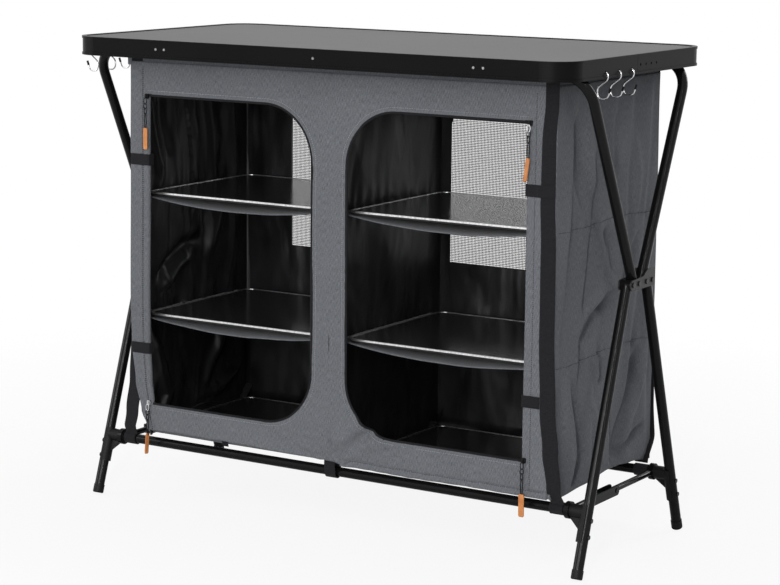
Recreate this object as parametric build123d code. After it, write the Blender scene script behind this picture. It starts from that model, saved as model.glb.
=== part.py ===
from build123d import *
import math
import os

# Folding camping cupboard. X runs along the width, -Y is the open front, +Z is up.
# The origin lies on the floor below the middle. All sizes are in millimetres.

# Table top
table_width = 1000.0
table_depth = 520.0
table_height = 855.0
corner_radius = 52.0
panel_thickness = 5.0
profile_height = 33.0
profile_wall = 1.6
profile_lip = 6.0
lip_thickness = 1.4
rib_proud = 1.2
rib_height = 4.0
batten_thickness = 5.0
batten_width = 40.0
batten_flange = 2.0
batten_drop = 17.0
batten_places = (-300.0, 20.0, 338.0)
clip_places = (-300.0, 338.0)
clip_width = 30.0
clip_wall = 6.0
clip_web = 1.5
clip_grip = 4.0
rivet_head = 2.2
rivet_shank = 1.6
rivet_spacing = 18.0
rivet_drop = 16.0
joiner_holes = (0.0, 20.0, 40.0, 60.0)
joiner_hole_radius = 2.2
joiner_drop = 18.0
joint_place = -11.0
joint_gap = 0.6

# Hooks, counted from the front edge of the table top
right_hooks = (133.0, 180.0, 227.0)
left_hooks = (59.0, 109.0, 151.0)
hook_hole_radius = 2.4
hook_hole_rise = 0.55
hook_drop = 23.6
hook_wire = 1.25
hook_sleeve = 1.9
hook_sleeve_length = 8.0

# Tubular frame
tube_radius = 9.0
tube_wall = 1.2
leg_overhang = 2.0
bar_inset = 72.0
bar_lean = 4.0
bend_radius = 56.0
hub_drop = 382.0
upper_pivot = 14.0
lower_pivot = 36.0
foot_inset = 66.0
barrel_radius = 8.5
barrel_length = 19.0
bolt_radius = 3.0
bolt_head = 4.5
bolt_head_height = 2.2
hub_plate = 2.5
hub_lobe = 20.0
hub_round = 7.0
rail_height = 108.0
rail_radius = 8.5
foot_wall = 0.9
foot_length = 16.0
foot_floor = 4.0
foot_round = 2.5

# Corner brackets on the lower legs
socket_wall = 3.0
socket_reach = 40.0
sleeve_wall = 3.0
sleeve_above = 12.0
sleeve_below = 50.0
gusset_thickness = 6.0
gusset_drop = 20.0
screw_radius = 2.0
screw_head = 4.0
screw_head_height = 1.6

# Folding side braces
brace_inset = 34.0
brace_radius = 5.5
eye_width = 8.0
eye_wall = 3.0
cheek_thickness = 2.5
cheek_height = 17.0
cheek_start = 72.0
cheek_plug = 24.0
cheek_over = 9.0
brace_pin = 3.0
brace_pin_head = 4.5
brace_pin_head_height = 1.3
open_pivot_slack = 0.3

# Cloth body
cloth = 1.5
body_inset = 59.0
base_over_rail = 16.0
cloth_drop = 4.0
hem_height = 22.0
fold_depth = 6.0
fold_steps = 4
strip_count = 8
opening_inner = 34.0
opening_margin = 47.0
opening_sill = 62.0
opening_drop = 104.0
opening_radius = 100.0
zip_width = 7.0
window_inner = 22.0
window_margin = 109.0
window_rise = 316.0
window_drop = 48.0
net_thickness = 0.8
net_columns = 12
net_rows = 11
net_hole = 8.0
roll_width = 24.0
roll_thickness = 5.4
roll_proud = 7.0
roll_end = 10.0
roll_tie = 0.82
roll_swell = 50.0
webbing = 1.2
strap_width = 30.0
strap_flare = 19.0
flare_height = 190.0
foot_strap_width = 26.0
tab_width = 20.0
tab_drop = 117.0
tab_rise = 104.0
loop_gap = 0.3
centre_loop_width = 22.0

# Boards and the cloth slings that carry them
board_thickness = 5.0
board_radius = 20.0
board_inset = 18.0
board_end_gap = 23.0
board_side_gap = 27.0
edge_wall = 1.2
edge_lip = 4.0
edge_skin = 0.5
upper_shelf_drop = 284.0
lower_shelf_rise = 223.0
sling_sag = 18.0

# Zip sliders and pulls
slider_inset = 3.0
slider_width = 8.0
slider_height = 9.0
slider_depth = 3.4
bridge_size = 2.4
tab_hole = 1.4
tab_pull_length = 28.0
tab_pull_width = 5.0
tab_pull_thickness = 1.4
cord_radius = 0.9
cord_length = 32.0
leather_length = 40.0
leather_width = 8.5
leather_thickness = 2.4

# Clearances
seat_gap = 0.3
running_gap = 0.05
slide_gap = 0.3

# Derived places
leg_plane = table_width / 2 + leg_overhang
bar_spread = table_depth / 2 - bar_inset
foot_spread = table_depth / 2 - foot_inset
hub_height = table_height - hub_drop
panel_top = table_height - lip_thickness
panel_under = panel_top - panel_thickness
batten_under = panel_under - batten_thickness
bar_height = batten_under - clip_web - seat_gap - tube_radius
bar_tilt = math.degrees(math.atan2(bar_spread - upper_pivot, bar_height - hub_height))
bar_length = math.hypot(bar_spread - upper_pivot, bar_height - hub_height)
leg_tilt = math.degrees(math.atan2(foot_spread - lower_pivot, hub_height))
leg_sin = math.sin(math.radians(leg_tilt))
leg_cos = math.cos(math.radians(leg_tilt))
rail_run = (hub_height - rail_height) / leg_cos
base_height = rail_height + base_over_rail
cloth_bottom = base_height - cloth_drop
rail_spread = lower_pivot + rail_run * leg_sin
foot_radius = tube_radius + foot_wall
web_inset = rib_proud
web_inner = rib_proud + profile_wall
profile_bottom = table_height - profile_height
hem_bottom = bar_height - tube_radius - seat_gap - hem_height
brace_plane = leg_plane - brace_inset
socket_radius = rail_radius + socket_wall
body_half_width = table_width / 2 - body_inset
body_front = bar_spread - tube_radius - seat_gap - webbing - cloth / 2
body_rear = bar_spread + tube_radius + seat_gap + cloth / 2
body_depth = body_front + body_rear
body_middle = (body_rear - body_front) / 2
opening_outer = body_half_width - opening_margin
opening_low = cloth_bottom + opening_sill
opening_high = table_height - opening_drop
window_outer = body_half_width - window_margin
window_low = cloth_bottom + window_rise
window_high = opening_high - window_drop
tab_heights = (opening_high - tab_drop, opening_low + tab_rise)
shelf_heights = (table_height - upper_shelf_drop, base_height + lower_shelf_rise)
panel_back = -body_front + cloth / 2
strap_back = panel_back + webbing
roll_front = strap_back + slide_gap
board_width = body_half_width - board_inset - board_end_gap
board_depth = body_depth - 2 * board_side_gap


def save(name, *solids):
    """Write one node, made of one or more separate solids."""
    shape = solids[0] if len(solids) == 1 else Compound(children=list(solids))
    shape.label = name
    export_step(shape, os.path.join("parts", name + ".step"))


def left_of(shape):
    return mirror(shape, about=Plane.YZ)


def rear_of(shape):
    return mirror(shape, about=Plane.XZ)


def rod_x(radius, x_low, x_high, y=0.0, z=0.0):
    middle = (x_low + x_high) / 2
    return Pos(middle, y, z) * Rot(0, 90, 0) * Cylinder(radius, x_high - x_low)


def rod_y(radius, y_low, y_high, x=0.0, z=0.0):
    middle = (y_low + y_high) / 2
    return Pos(x, middle, z) * Rot(90, 0, 0) * Cylinder(radius, y_high - y_low)


def rod_z(radius, z_low, z_high, x=0.0, y=0.0):
    return Pos(x, y, (z_low + z_high) / 2) * Cylinder(radius, z_high - z_low)


def block(x_low, x_high, y_low, y_high, z_low, z_high):
    centre = Pos((x_low + x_high) / 2, (y_low + y_high) / 2, (z_low + z_high) / 2)
    return centre * Box(x_high - x_low, y_high - y_low, z_high - z_low)


def rounded_plate(width, depth, radius, z_low, z_high):
    return Pos(0, 0, z_low) * extrude(RectangleRounded(width, depth, radius), z_high - z_low)


def rounded_ring(width, depth, radius, outer, inner, z_low, z_high):
    """A flat ring whose edges lie the given insets inside a rounded rectangle."""
    outline = RectangleRounded(width - 2 * outer, depth - 2 * outer, radius - outer)
    hole = RectangleRounded(width - 2 * inner, depth - 2 * inner, radius - inner)
    return Pos(0, 0, z_low) * extrude(outline - hole, z_high - z_low)


# Table top
def table_ring(outer, inner, z_low, z_high):
    return rounded_ring(table_width, table_depth, corner_radius, outer, inner, z_low, z_high)


def make_profile():
    lip_inner = web_inner + profile_lip
    ring = table_ring(web_inset, web_inner, profile_bottom, table_height)
    ring += table_ring(0, web_inner, table_height - rib_height, table_height)
    ring += table_ring(0, web_inner, profile_bottom, profile_bottom + rib_height)
    ring += table_ring(web_inset, lip_inner, panel_top, table_height)
    for place in batten_places:
        for x in rivet_columns(place):
            cut = rod_y(rivet_shank + running_gap, -table_depth / 2, -table_depth / 2 + web_inner, x,
                        table_height - rivet_drop)
            ring -= cut
            ring -= rear_of(cut)
    hole_height = table_height - hook_drop + hook_hole_rise
    reach = table_width / 2 + rib_proud
    for inset in right_hooks:
        ring -= rod_x(hook_hole_radius, 0, reach, inset - table_depth / 2, hole_height)
    for inset in left_hooks:
        ring -= rod_x(hook_hole_radius, -reach, 0, inset - table_depth / 2, hole_height)
    for y in joiner_holes:
        right_side = table_width / 2
        ring -= rod_x(joiner_hole_radius, right_side - web_inner, right_side, y, table_height - joiner_drop)
    ring -= block(0, table_width / 2, joint_place - joint_gap / 2, joint_place + joint_gap / 2, profile_bottom,
                  table_height)
    return ring


def make_panel():
    inset = web_inner + slide_gap
    return rounded_plate(table_width - 2 * inset, table_depth - 2 * inset, corner_radius - inset,
                         panel_under, panel_top)


def rivet_columns(place):
    """One rivet holds the middle batten, a pair holds each outer one."""
    if place in clip_places:
        return (place - rivet_spacing / 2, place + rivet_spacing / 2)
    return (place,)


def make_battens():
    end = table_depth / 2 - web_inner
    battens = []
    for place in batten_places:
        low = place - batten_width / 2
        high = place + batten_width / 2
        batten = block(low, high, -end, end, batten_under, panel_under)
        flange = block(low, high, -end, -end + batten_flange, panel_under - batten_thickness - batten_drop,
                       batten_under)
        for x in rivet_columns(place):
            flange -= rod_y(rivet_shank + running_gap, -end, -end + batten_flange, x,
                            table_height - rivet_drop)
        batten += flange + rear_of(flange)
        battens.append(batten)
    return battens


def make_rivets():
    face = table_depth / 2 - web_inset
    inner = table_depth / 2 - web_inner - batten_flange
    rivets = []
    for place in batten_places:
        for x in rivet_columns(place):
            height = table_height - rivet_drop
            head = rod_y(rivet_head, -face - rib_proud * 0.8, -face, x, height)
            tail = rod_y(rivet_head, -inner, -inner + rib_proud, x, height)
            shank = rod_y(rivet_shank, -face, -inner, x, height)
            rivet = head + shank + tail
            rivets += [rivet, rear_of(rivet)]
    return rivets


def make_clips():
    """Saddles under the battens that sit down over the two bars."""
    half = tube_radius + clip_wall
    clips = []
    for place in clip_places:
        low = place - clip_width / 2
        high = place + clip_width / 2
        clip = block(low, high, -bar_spread - half, -bar_spread + half, bar_height - clip_grip,
                     batten_under)
        clip -= rod_x(tube_radius + seat_gap, low, high, -bar_spread, bar_height)
        clip -= block(low, high, -bar_spread - tube_radius - seat_gap, -bar_spread + tube_radius + seat_gap,
                      bar_height - clip_grip, bar_height)
        clips += [clip, rear_of(clip)]
    return clips


def make_hook(inset):
    """One S-hook through the right side of the profile, in its own XZ plane."""
    face = table_width / 2
    crown = table_height - hook_drop
    points = [
        (face - 8.0, crown - 5.5),
        (face - 8.0, crown),
        (face + 3.0, crown),
        (face + 3.0, crown - 11.5),
        (face - 15.5, crown - 25.5),
        (face - 15.5, crown - 42.5),
        (face + 2.5, crown - 42.5),
        (face + 6.0, crown - 32.5),
    ]
    path = FilletPolyline(*[(x, 0, z) for x, z in points], radius=[5.4, 5.4, 9.0, 9.0, 8.9, 8.9])
    wire = sweep(Plane(origin=path @ 0, z_dir=path % 0) * Circle(hook_wire), path=path)
    tip = Line(path @ 1, path @ 1 + (path % 1) * hook_sleeve_length)
    wire += sweep(Plane(origin=tip @ 0, z_dir=tip % 0) * Circle(hook_sleeve), path=tip)
    return Pos(0, inset - table_depth / 2, 0) * wire


# Tubular frame
def upper_frame():
    """Local frame of the front upper U-tube: Z runs from the pivot to the top bar."""
    return Pos(0, -upper_pivot, hub_height) * Rot(bar_tilt, 0, 0)


def lower_frame():
    """Local frame of the front lower legs: -Z runs from the pivot to the foot."""
    return Pos(0, -lower_pivot, hub_height) * Rot(-leg_tilt, 0, 0)


def make_upper_tube():
    bar_reach = leg_plane - bar_lean
    corners = [(-leg_plane, 0, 0), (-bar_reach, 0, bar_length), (bar_reach, 0, bar_length), (leg_plane, 0, 0)]
    path = FilletPolyline(*corners, radius=bend_radius)
    start = Plane(origin=path @ 0, z_dir=path % 0)
    tube = sweep(start * Circle(tube_radius), path=path)
    barrel = rod_x(barrel_radius, leg_plane - barrel_length / 2, leg_plane + barrel_length / 2)
    tube += barrel + left_of(barrel)
    tube -= sweep(start * Circle(tube_radius - tube_wall), path=path)
    reach = leg_plane + barrel_length
    tube -= rod_x(bolt_radius + running_gap, leg_plane - barrel_length, reach)
    tube -= rod_x(bolt_radius + running_gap, -reach, -leg_plane + barrel_length)
    return upper_frame() * tube


def foot_end():
    """Run along the leg at which the rounded cap just meets the floor."""
    flat = foot_radius - foot_round
    return foot_round + (hub_height - foot_round - flat * leg_sin) / leg_cos


def make_leg():
    run = foot_end() - foot_floor
    tube = rod_z(tube_radius, -run, 0, leg_plane)
    tube += rod_x(barrel_radius, leg_plane - barrel_length / 2, leg_plane + barrel_length / 2)
    tube -= rod_z(tube_radius - tube_wall, -run, -barrel_radius, leg_plane)
    tube -= rod_x(bolt_radius + running_gap, leg_plane - barrel_length, leg_plane + barrel_length)
    for drop in screw_drops():
        tube -= rod_x(screw_radius + running_gap, leg_plane - tube_radius, leg_plane + tube_radius, 0, -drop)
    return lower_frame() * tube


def make_foot():
    end = foot_end()
    cap = rod_z(foot_radius, -end, foot_length - end, leg_plane)
    cap = fillet(cap.edges().sort_by(Axis.Z)[0], foot_round)
    cap -= rod_z(tube_radius + running_gap, foot_floor - end, foot_length - end, leg_plane)
    return lower_frame() * cap


def make_rail():
    reach = leg_plane - socket_reach + socket_depth()
    rail = rod_x(rail_radius, -reach, reach)
    rail -= rod_x(rail_radius - tube_wall, -reach, reach)
    return lower_frame() * Pos(0, 0, -rail_run) * rail


def socket_depth():
    """How far the rail goes into its socket, short of the leg tube."""
    return socket_reach - tube_radius - sleeve_wall


def screw_drops():
    return (rail_run + sleeve_below * 0.25, rail_run + sleeve_below * 0.8)


def make_bracket():
    """Plastic corner: a socket for the rail, a half sleeve down the leg and a gusset."""
    inner = leg_plane - socket_reach
    sleeve_radius = tube_radius + sleeve_wall
    top = sleeve_above - rail_run
    bottom = -rail_run - sleeve_below
    body = rod_x(socket_radius, inner, leg_plane, 0, -rail_run)
    body += rod_z(sleeve_radius, bottom, top, leg_plane)
    gusset_inner = brace_plane + eye_width / 2 + 1.5
    gusset = Polyline(
        (gusset_inner, -rail_run),
        (gusset_inner, -rail_run - socket_radius - 2.0),
        (leg_plane - tube_radius, -rail_run - socket_radius - gusset_drop),
        (leg_plane - tube_radius, -rail_run),
        close=True,
    )
    web = extrude(Plane.XZ * make_face(gusset), gusset_thickness / 2, both=True)
    body += web
    body -= rod_z(tube_radius + running_gap, bottom, top, leg_plane)
    body -= rod_x(rail_radius + running_gap, inner, inner + socket_depth(), 0, -rail_run)
    open_side = block(leg_plane + 2.0, leg_plane + 2 * sleeve_radius, -sleeve_radius, sleeve_radius,
                      bottom, top)
    body -= open_side
    for drop in screw_drops():
        body -= rod_x(screw_radius + running_gap, leg_plane - 2 * sleeve_radius, leg_plane, 0, -drop)
    return lower_frame() * body


def make_screws():
    screws = []
    for drop in screw_drops():
        outside = leg_plane + tube_radius
        inside = leg_plane - tube_radius - sleeve_wall
        screw = rod_x(screw_radius, inside, outside + 0.5, 0, -drop)
        screw += rod_x(screw_head, outside + 0.1, outside + screw_head_height, 0, -drop)
        screws.append(lower_frame() * screw)
        screws.append(lower_frame() * left_of(screw))
    return screws


# Pivot hubs
def hub_outline():
    """Pressed plate: a narrow bar at the front that rises to a round lobe at the rear."""
    low = hub_height - barrel_radius - 1.5
    ends = lower_pivot + barrel_radius
    points = [
        (-ends, low),
        (ends, low),
        (ends, hub_height + hub_lobe),
        (upper_pivot + 3.0, hub_height + hub_lobe),
        (upper_pivot - hub_lobe * 0.6, hub_height + barrel_radius + 1.5),
        (-ends, hub_height + barrel_radius - 1.0),
    ]
    face = make_face(Polyline(*points, close=True))
    return fillet(face.vertices(), hub_round)


def hub_pivots():
    return (-lower_pivot, -upper_pivot, upper_pivot, lower_pivot)


def make_hub_plate():
    outer_face = leg_plane + barrel_length / 2 + slide_gap
    inner_face = leg_plane - barrel_length / 2 - slide_gap
    plates = []
    for low in (outer_face, inner_face - hub_plate):
        plate = Pos(low, 0, 0) * extrude(Plane.YZ * hub_outline(), hub_plate)
        for y in hub_pivots():
            plate -= rod_x(bolt_radius + running_gap, low, low + hub_plate, y, hub_height)
        plates.append(plate)
    return plates


def make_bolts():
    outer = leg_plane + barrel_length / 2 + slide_gap + hub_plate
    inner = leg_plane - barrel_length / 2 - slide_gap - hub_plate
    bolts = []
    for y in hub_pivots():
        bolt = rod_x(bolt_radius, inner, outer, y, hub_height)
        bolt += rod_x(bolt_head, outer, outer + bolt_head_height, y, hub_height)
        bolt += rod_x(bolt_head, inner - bolt_head_height, inner, y, hub_height)
        bolts += [bolt, left_of(bolt)]
    return bolts


# Side braces: two arms that meet at a middle pivot and fold upwards
def brace_eye():
    outer = socket_radius + running_gap * 2 + eye_wall
    half = eye_width / 2
    eye = rod_x(outer, brace_plane - half, brace_plane + half, -rail_spread, rail_height)
    return eye


def eye_bore():
    half = eye_width / 2
    return rod_x(socket_radius + running_gap * 2, brace_plane - half, brace_plane + half, -rail_spread,
                 rail_height)


def cheek_gap():
    return brace_radius + 0.5


def make_front_brace():
    plug_end = cheek_start + cheek_plug
    arm = brace_eye()
    arm += rod_y(brace_radius, -rail_spread + socket_radius, -rail_spread + plug_end - 4.0, brace_plane,
                 rail_height)
    arm += block(brace_plane - cheek_gap(), brace_plane + cheek_gap(), -rail_spread + cheek_start,
                 -rail_spread + plug_end, rail_height - cheek_height / 2, rail_height + cheek_height / 2)
    side = block(brace_plane + cheek_gap(), brace_plane + cheek_gap() + cheek_thickness,
                 -rail_spread + cheek_start, cheek_over, rail_height - cheek_height / 2,
                 rail_height + cheek_height / 2)
    rear_edges = side.edges().filter_by(Axis.X).sort_by(Axis.Y)[-2:]
    side = fillet(rear_edges, cheek_height * 0.4)
    arm += side
    arm += mirror(side, about=Plane.YZ.offset(brace_plane))
    arm -= eye_bore()
    reach = cheek_gap() + cheek_thickness
    head = rod_x(brace_pin_head, brace_plane + reach, brace_plane + reach + brace_pin_head_height, 0,
                 rail_height)
    arm += head + mirror(head, about=Plane.YZ.offset(brace_plane))
    return arm


def make_rear_brace():
    arm = brace_eye()
    arm += rod_y(brace_radius, -rail_spread + socket_radius, brace_radius, brace_plane, rail_height)
    tip_edges = arm.edges().sort_by(Axis.Y)[-1]
    arm = fillet(tip_edges, brace_radius * 0.5)
    arm -= eye_bore()
    arm = rear_of(arm)
    arm -= rod_x(brace_pin + open_pivot_slack, brace_plane - cheek_gap(), brace_plane + cheek_gap(), 0,
                 rail_height)
    return arm


# Cloth body
def bay_fold(z):
    """Zero where a shelf line holds the cloth, one half way between two lines."""
    lines = [base_height, shelf_heights[1], shelf_heights[0], hem_bottom]
    for low, high in zip(lines, lines[1:]):
        if low <= z <= high:
            return math.sin(math.pi * (z - low) / (high - low)), lines.index(low)
    return 0.0, 0


def sheet_heights():
    lines = [base_height, shelf_heights[1], shelf_heights[0], hem_bottom]
    heights = [cloth_bottom]
    for low, high in zip(lines, lines[1:]):
        heights += [low + (high - low) * step / fold_steps for step in range(fold_steps)]
    return heights + [hem_bottom]


def fold_offset(along, z, phase):
    """Main folds: slanting waves that fade out at the shelf lines and the side seams."""
    envelope, bay = bay_fold(z)
    edge = math.sin(math.pi * along)
    wave = math.sin(2.6 * math.pi * along + phase + 1.7 * bay) + 0.5 * math.sin(5.1 * math.pi * along - phase)
    return fold_depth * 0.66 * envelope * edge * wave


def folded_wall(start, phase):
    """A hanging wall in the YZ plane, from the given start to the rear wall, with its main folds."""
    length = body_rear - cloth / 2 - start
    sections = []
    for z in sheet_heights():
        front = []
        for step in range(strip_count + 1):
            along = step / strip_count
            y = start + length * along
            front.append((fold_offset(along, z, phase), y))
        outline = [(x + cloth / 2, y) for x, y in front]
        outline += [(x - cloth / 2, y) for x, y in reversed(front)]
        sections.append(Plane.XY.offset(z) * make_face(Polyline(*outline, close=True)))
    return loft(sections, ruled=True)


def door_shape(grow_inner, grow_ends):
    """One door opening on the right: straight at its outer side, round at the inner corners."""
    inner = opening_inner + grow_inner
    low = opening_low + grow_ends
    high = opening_high - grow_ends
    sketch = Pos((inner + opening_outer) / 2, (low + high) / 2) * Rectangle(opening_outer - inner, high - low)
    corners = sketch.vertices().sort_by(Axis.X)[:2]
    return fillet(corners, opening_radius - grow_inner)


def upright(sketch, thickness, y_middle):
    """Stand an XY sketch up as a wall of the given thickness."""
    solid = extrude(Plane.XZ * sketch, thickness / 2, both=True)
    return Pos(0, y_middle, 0) * solid


def make_front_panel():
    sheet = Pos(0, (cloth_bottom + hem_bottom) / 2) * Rectangle(2 * body_half_width, hem_bottom - cloth_bottom)
    door = door_shape(0, 0)
    sheet = sheet - door - mirror(door, about=Plane.YZ)
    return upright(sheet, cloth, -body_front)


def window_shape(inset):
    width = window_outer - window_inner - 2 * inset
    height = window_high - window_low - 2 * inset
    centre = Pos((window_inner + window_outer) / 2, (window_low + window_high) / 2)
    return centre * Rectangle(width, height)


def make_rear_panel():
    sheet = Pos(0, (cloth_bottom + hem_bottom) / 2) * Rectangle(2 * body_half_width, hem_bottom - cloth_bottom)
    window = window_shape(0)
    sheet = sheet - window - mirror(window, about=Plane.YZ)
    return upright(sheet, cloth, body_rear)


def make_net():
    """Window net: one flat face with diamond gaps."""
    sheet = window_shape(0)
    step_x = (window_outer - window_inner) / net_columns
    step_z = (window_high - window_low) / net_rows
    gaps = []
    for column in range(net_columns):
        for row in range(net_rows):
            centre = Pos(window_inner + step_x * (column + 0.5), window_low + step_z * (row + 0.5))
            gaps.append(centre * RegularPolygon(net_hole, 4))
    return upright(sheet - gaps, net_thickness, body_rear)


def make_zip_tape():
    tape = door_shape(0, 0) - door_shape(zip_width, zip_width)
    return upright(tape, cloth * 0.8, -body_front)


def make_side_wall(start, phase):
    return Pos(body_half_width - cloth / 2, 0, 0) * folded_wall(start, phase)


def make_hem():
    width = 2 * body_half_width
    depth = body_depth + cloth
    outline = Rectangle(width, depth) - Rectangle(width - 2 * cloth, depth - 2 * cloth)
    return Pos(0, body_middle, hem_bottom) * extrude(outline, hem_height)


def make_base():
    low_x = cloth / 2 + slide_gap
    high_x = body_half_width - cloth - slide_gap
    rear = body_rear - cloth / 2
    top = base_height + cloth
    return [block(low_x, high_x, panel_back, rear, base_height, top),
            block(-high_x, -low_x, strap_back, rear, base_height, top)]


def make_door_roll():
    """A door rolled up flat beside its opening, drawn in where the tabs tie it."""
    x_middle = opening_outer - roll_proud + roll_width / 2
    y_middle = roll_front + roll_thickness / 2
    low = opening_low + roll_end
    high = opening_high - roll_end
    upper_tie, lower_tie = tab_heights
    heights = [low, lower_tie - roll_swell, lower_tie, lower_tie + roll_swell,
               upper_tie - roll_swell, upper_tie, upper_tie + roll_swell, high]
    sizes = [roll_tie, 1.0, roll_tie, 1.0, 1.0, roll_tie, 1.0, roll_tie]
    sections = []
    for height, size in zip(heights, sizes):
        outline = Ellipse(roll_width / 2 * size, roll_thickness / 2 * size)
        sections.append(Pos(x_middle, y_middle, height) * outline)
    return loft(sections, ruled=True)


def make_tab(height, outer, front):
    """Webbing tab over the front of the panel, round the zip's edge and behind the roll."""
    back = roll_front + roll_thickness + slide_gap
    edge = opening_outer - roll_proud - slide_gap
    roll_outer = opening_outer - roll_proud + roll_width
    low = height - tab_width / 2
    high = height + tab_width / 2
    tab = block(edge - webbing, outer, front - webbing, front, low, high)
    tab += block(edge - webbing, edge, front - webbing, back + webbing, low, high)
    tab += block(edge - webbing, roll_outer, back, back + webbing, low, high)
    return tab


def make_corner_strap(y_middle, outer):
    """Webbing down a corner, from beside the top bar to just above the rail, flared at the bottom."""
    low = rail_height + rail_radius + webbing + 2 * loop_gap
    high = bar_height
    bend = low + flare_height
    bow = low + flare_height * 0.55
    foot = body_half_width + strap_flare
    bow_edge = outer + (foot - outer) * 0.37
    outline = Polyline(
        (outer - strap_width, high),
        (outer, high),
        (outer, bend),
        (bow_edge, bow),
        (foot, low),
        (foot - foot_strap_width, low),
        (bow_edge - strap_width, bow),
        (outer - strap_width, bend),
        close=True,
    )
    return upright(make_face(outline), webbing, y_middle)


def make_rail_loop(x_low, x_high):
    ring = rod_x(rail_radius + loop_gap + webbing, x_low, x_high, -rail_spread, rail_height)
    ring -= rod_x(rail_radius + loop_gap, x_low, x_high, -rail_spread, rail_height)
    return ring


# Boards
def make_board():
    """Thin board with a folded aluminium edge all round, underside at Z = 0."""
    size = (board_width, board_depth, board_radius)
    core = rounded_plate(board_width - 2 * edge_wall, board_depth - 2 * edge_wall, board_radius - edge_wall,
                         edge_skin, edge_skin + board_thickness)
    top = board_thickness + 2 * edge_skin
    edge = rounded_ring(*size, 0, edge_wall, 0, top)
    edge += rounded_ring(*size, 0, edge_lip, 0, edge_skin)
    edge += rounded_ring(*size, 0, edge_lip, top - edge_skin, top)
    return core, edge


def place_board(z_under, side):
    centre = side * (board_inset + board_width / 2)
    return [Pos(centre, body_middle, z_under) * piece for piece in make_board()]


def sling_radius():
    chord = body_half_width - 1.5 * cloth
    return (chord * chord / 4 + sling_sag * sling_sag) / (2 * sling_sag)


def make_sling(board_bottom):
    """Cloth shelf that sags below its board and meets it near the board's ends."""
    low_x = cloth / 2 + slide_gap
    high_x = body_half_width - cloth - slide_gap
    middle = (low_x + high_x) / 2
    radius = sling_radius()
    half = (high_x - low_x) / 2
    reach = middle - board_inset
    rise = math.sqrt(radius * radius - reach * reach) - math.sqrt(radius * radius - half * half)
    ends = board_bottom - seat_gap + rise
    sag = radius - math.sqrt(radius * radius - half * half)
    top = ThreePointArc((low_x, ends), (middle, ends - sag), (high_x, ends))
    bottom = ThreePointArc((low_x, ends - cloth), (middle, ends - sag - cloth), (high_x, ends - cloth))
    sides = [Line(top @ 0, bottom @ 0), Line(top @ 1, bottom @ 1)]
    face = make_face([top, bottom] + sides)
    return Pos(0, body_middle, 0) * extrude(Plane.XZ * face, board_depth / 2, both=True)


# Zip sliders and pulls, made for the upper right corner of a door
def slider_place():
    x = opening_outer - slider_inset
    y = -body_front - cloth / 2 - slide_gap - slider_depth / 2
    return x, y


def make_slider():
    body = Box(slider_width, slider_depth, slider_height)
    body = fillet(body.edges().filter_by(Axis.Y), 2.0)
    face = -slider_depth / 2
    bridge = Pos(0, face - bridge_size / 2, 0) * Box(bridge_size, bridge_size, slider_height * 0.8)
    bridge -= Pos(0, face - bridge_size / 3, 0) * Box(bridge_size, bridge_size * 0.66, slider_height * 0.3)
    return body + bridge


def make_pull():
    """Metal tab, cord loop and leather tag, hanging from Z = 0 at the bridge."""
    y = -slider_depth / 2 - bridge_size - slide_gap - tab_pull_thickness / 2
    tab_low = -slider_height / 2 - tab_pull_length
    tab = block(-tab_pull_width / 2, tab_pull_width / 2, y - tab_pull_thickness / 2,
                y + tab_pull_thickness / 2, tab_low, -bridge_size * 0.75)
    tab -= rod_y(tab_hole, y - 2, y + 2, 0, tab_low + 3 * tab_hole)
    loop_low = tab_low - cord_length + 8.0
    half = tab_pull_width * 0.42
    loop = []
    for side in (-1, 1):
        loop.append(rod_z(cord_radius, loop_low, tab_low - seat_gap, side * half, y))
    tag = block(-leather_width / 2, leather_width / 2, y - leather_thickness / 2,
                y + leather_thickness / 2, loop_low - leather_length, loop_low)
    tag = fillet(tag.edges().filter_by(Axis.Z), leather_thickness * 0.4)
    return [tab, tag] + loop


def place_zip_piece(piece, side, upper):
    x, y = slider_place()
    z = opening_high - zip_width / 2 if upper else opening_low + zip_width / 2
    return Pos(side * x, y, z) * piece


# Write every node
os.makedirs("parts", exist_ok=True)

save("table_profile", make_profile())
save("table_panel", make_panel())
save("table_battens", *make_battens())
save("table_rivets", *make_rivets())
save("bar_clips", *make_clips())
for number, inset in enumerate(right_hooks, start=1):
    save("s_hook_right_%d" % number, make_hook(inset))
for number, inset in enumerate(left_hooks, start=1):
    save("s_hook_left_%d" % number, left_of(make_hook(inset)))

upper_tube = make_upper_tube()
save("upper_tube_front", upper_tube)
save("upper_tube_rear", rear_of(upper_tube))
leg = make_leg()
foot = make_foot()
bracket = make_bracket()
rail = make_rail()
screws = make_screws()
save("leg_front_right", leg)
save("leg_front_left", left_of(leg))
save("leg_rear_right", rear_of(leg))
save("leg_rear_left", rear_of(left_of(leg)))
save("rail_front", rail)
save("rail_rear", rear_of(rail))
save("brackets_front", bracket, left_of(bracket))
save("brackets_rear", rear_of(bracket), rear_of(left_of(bracket)))
save("feet_front", foot, left_of(foot))
save("feet_rear", rear_of(foot), rear_of(left_of(foot)))
save("screws_front", *screws)
save("screws_rear", *[rear_of(screw) for screw in screws])
hub_plates = make_hub_plate()
save("hub_plates_right", *hub_plates)
save("hub_plates_left", *[left_of(plate) for plate in hub_plates])
save("hub_bolts", *make_bolts())
front_brace = make_front_brace()
rear_brace = make_rear_brace()
save("brace_front_right", front_brace)
save("brace_front_left", left_of(front_brace))
save("brace_rear_right", rear_brace)
save("brace_rear_left", left_of(rear_brace))

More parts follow.
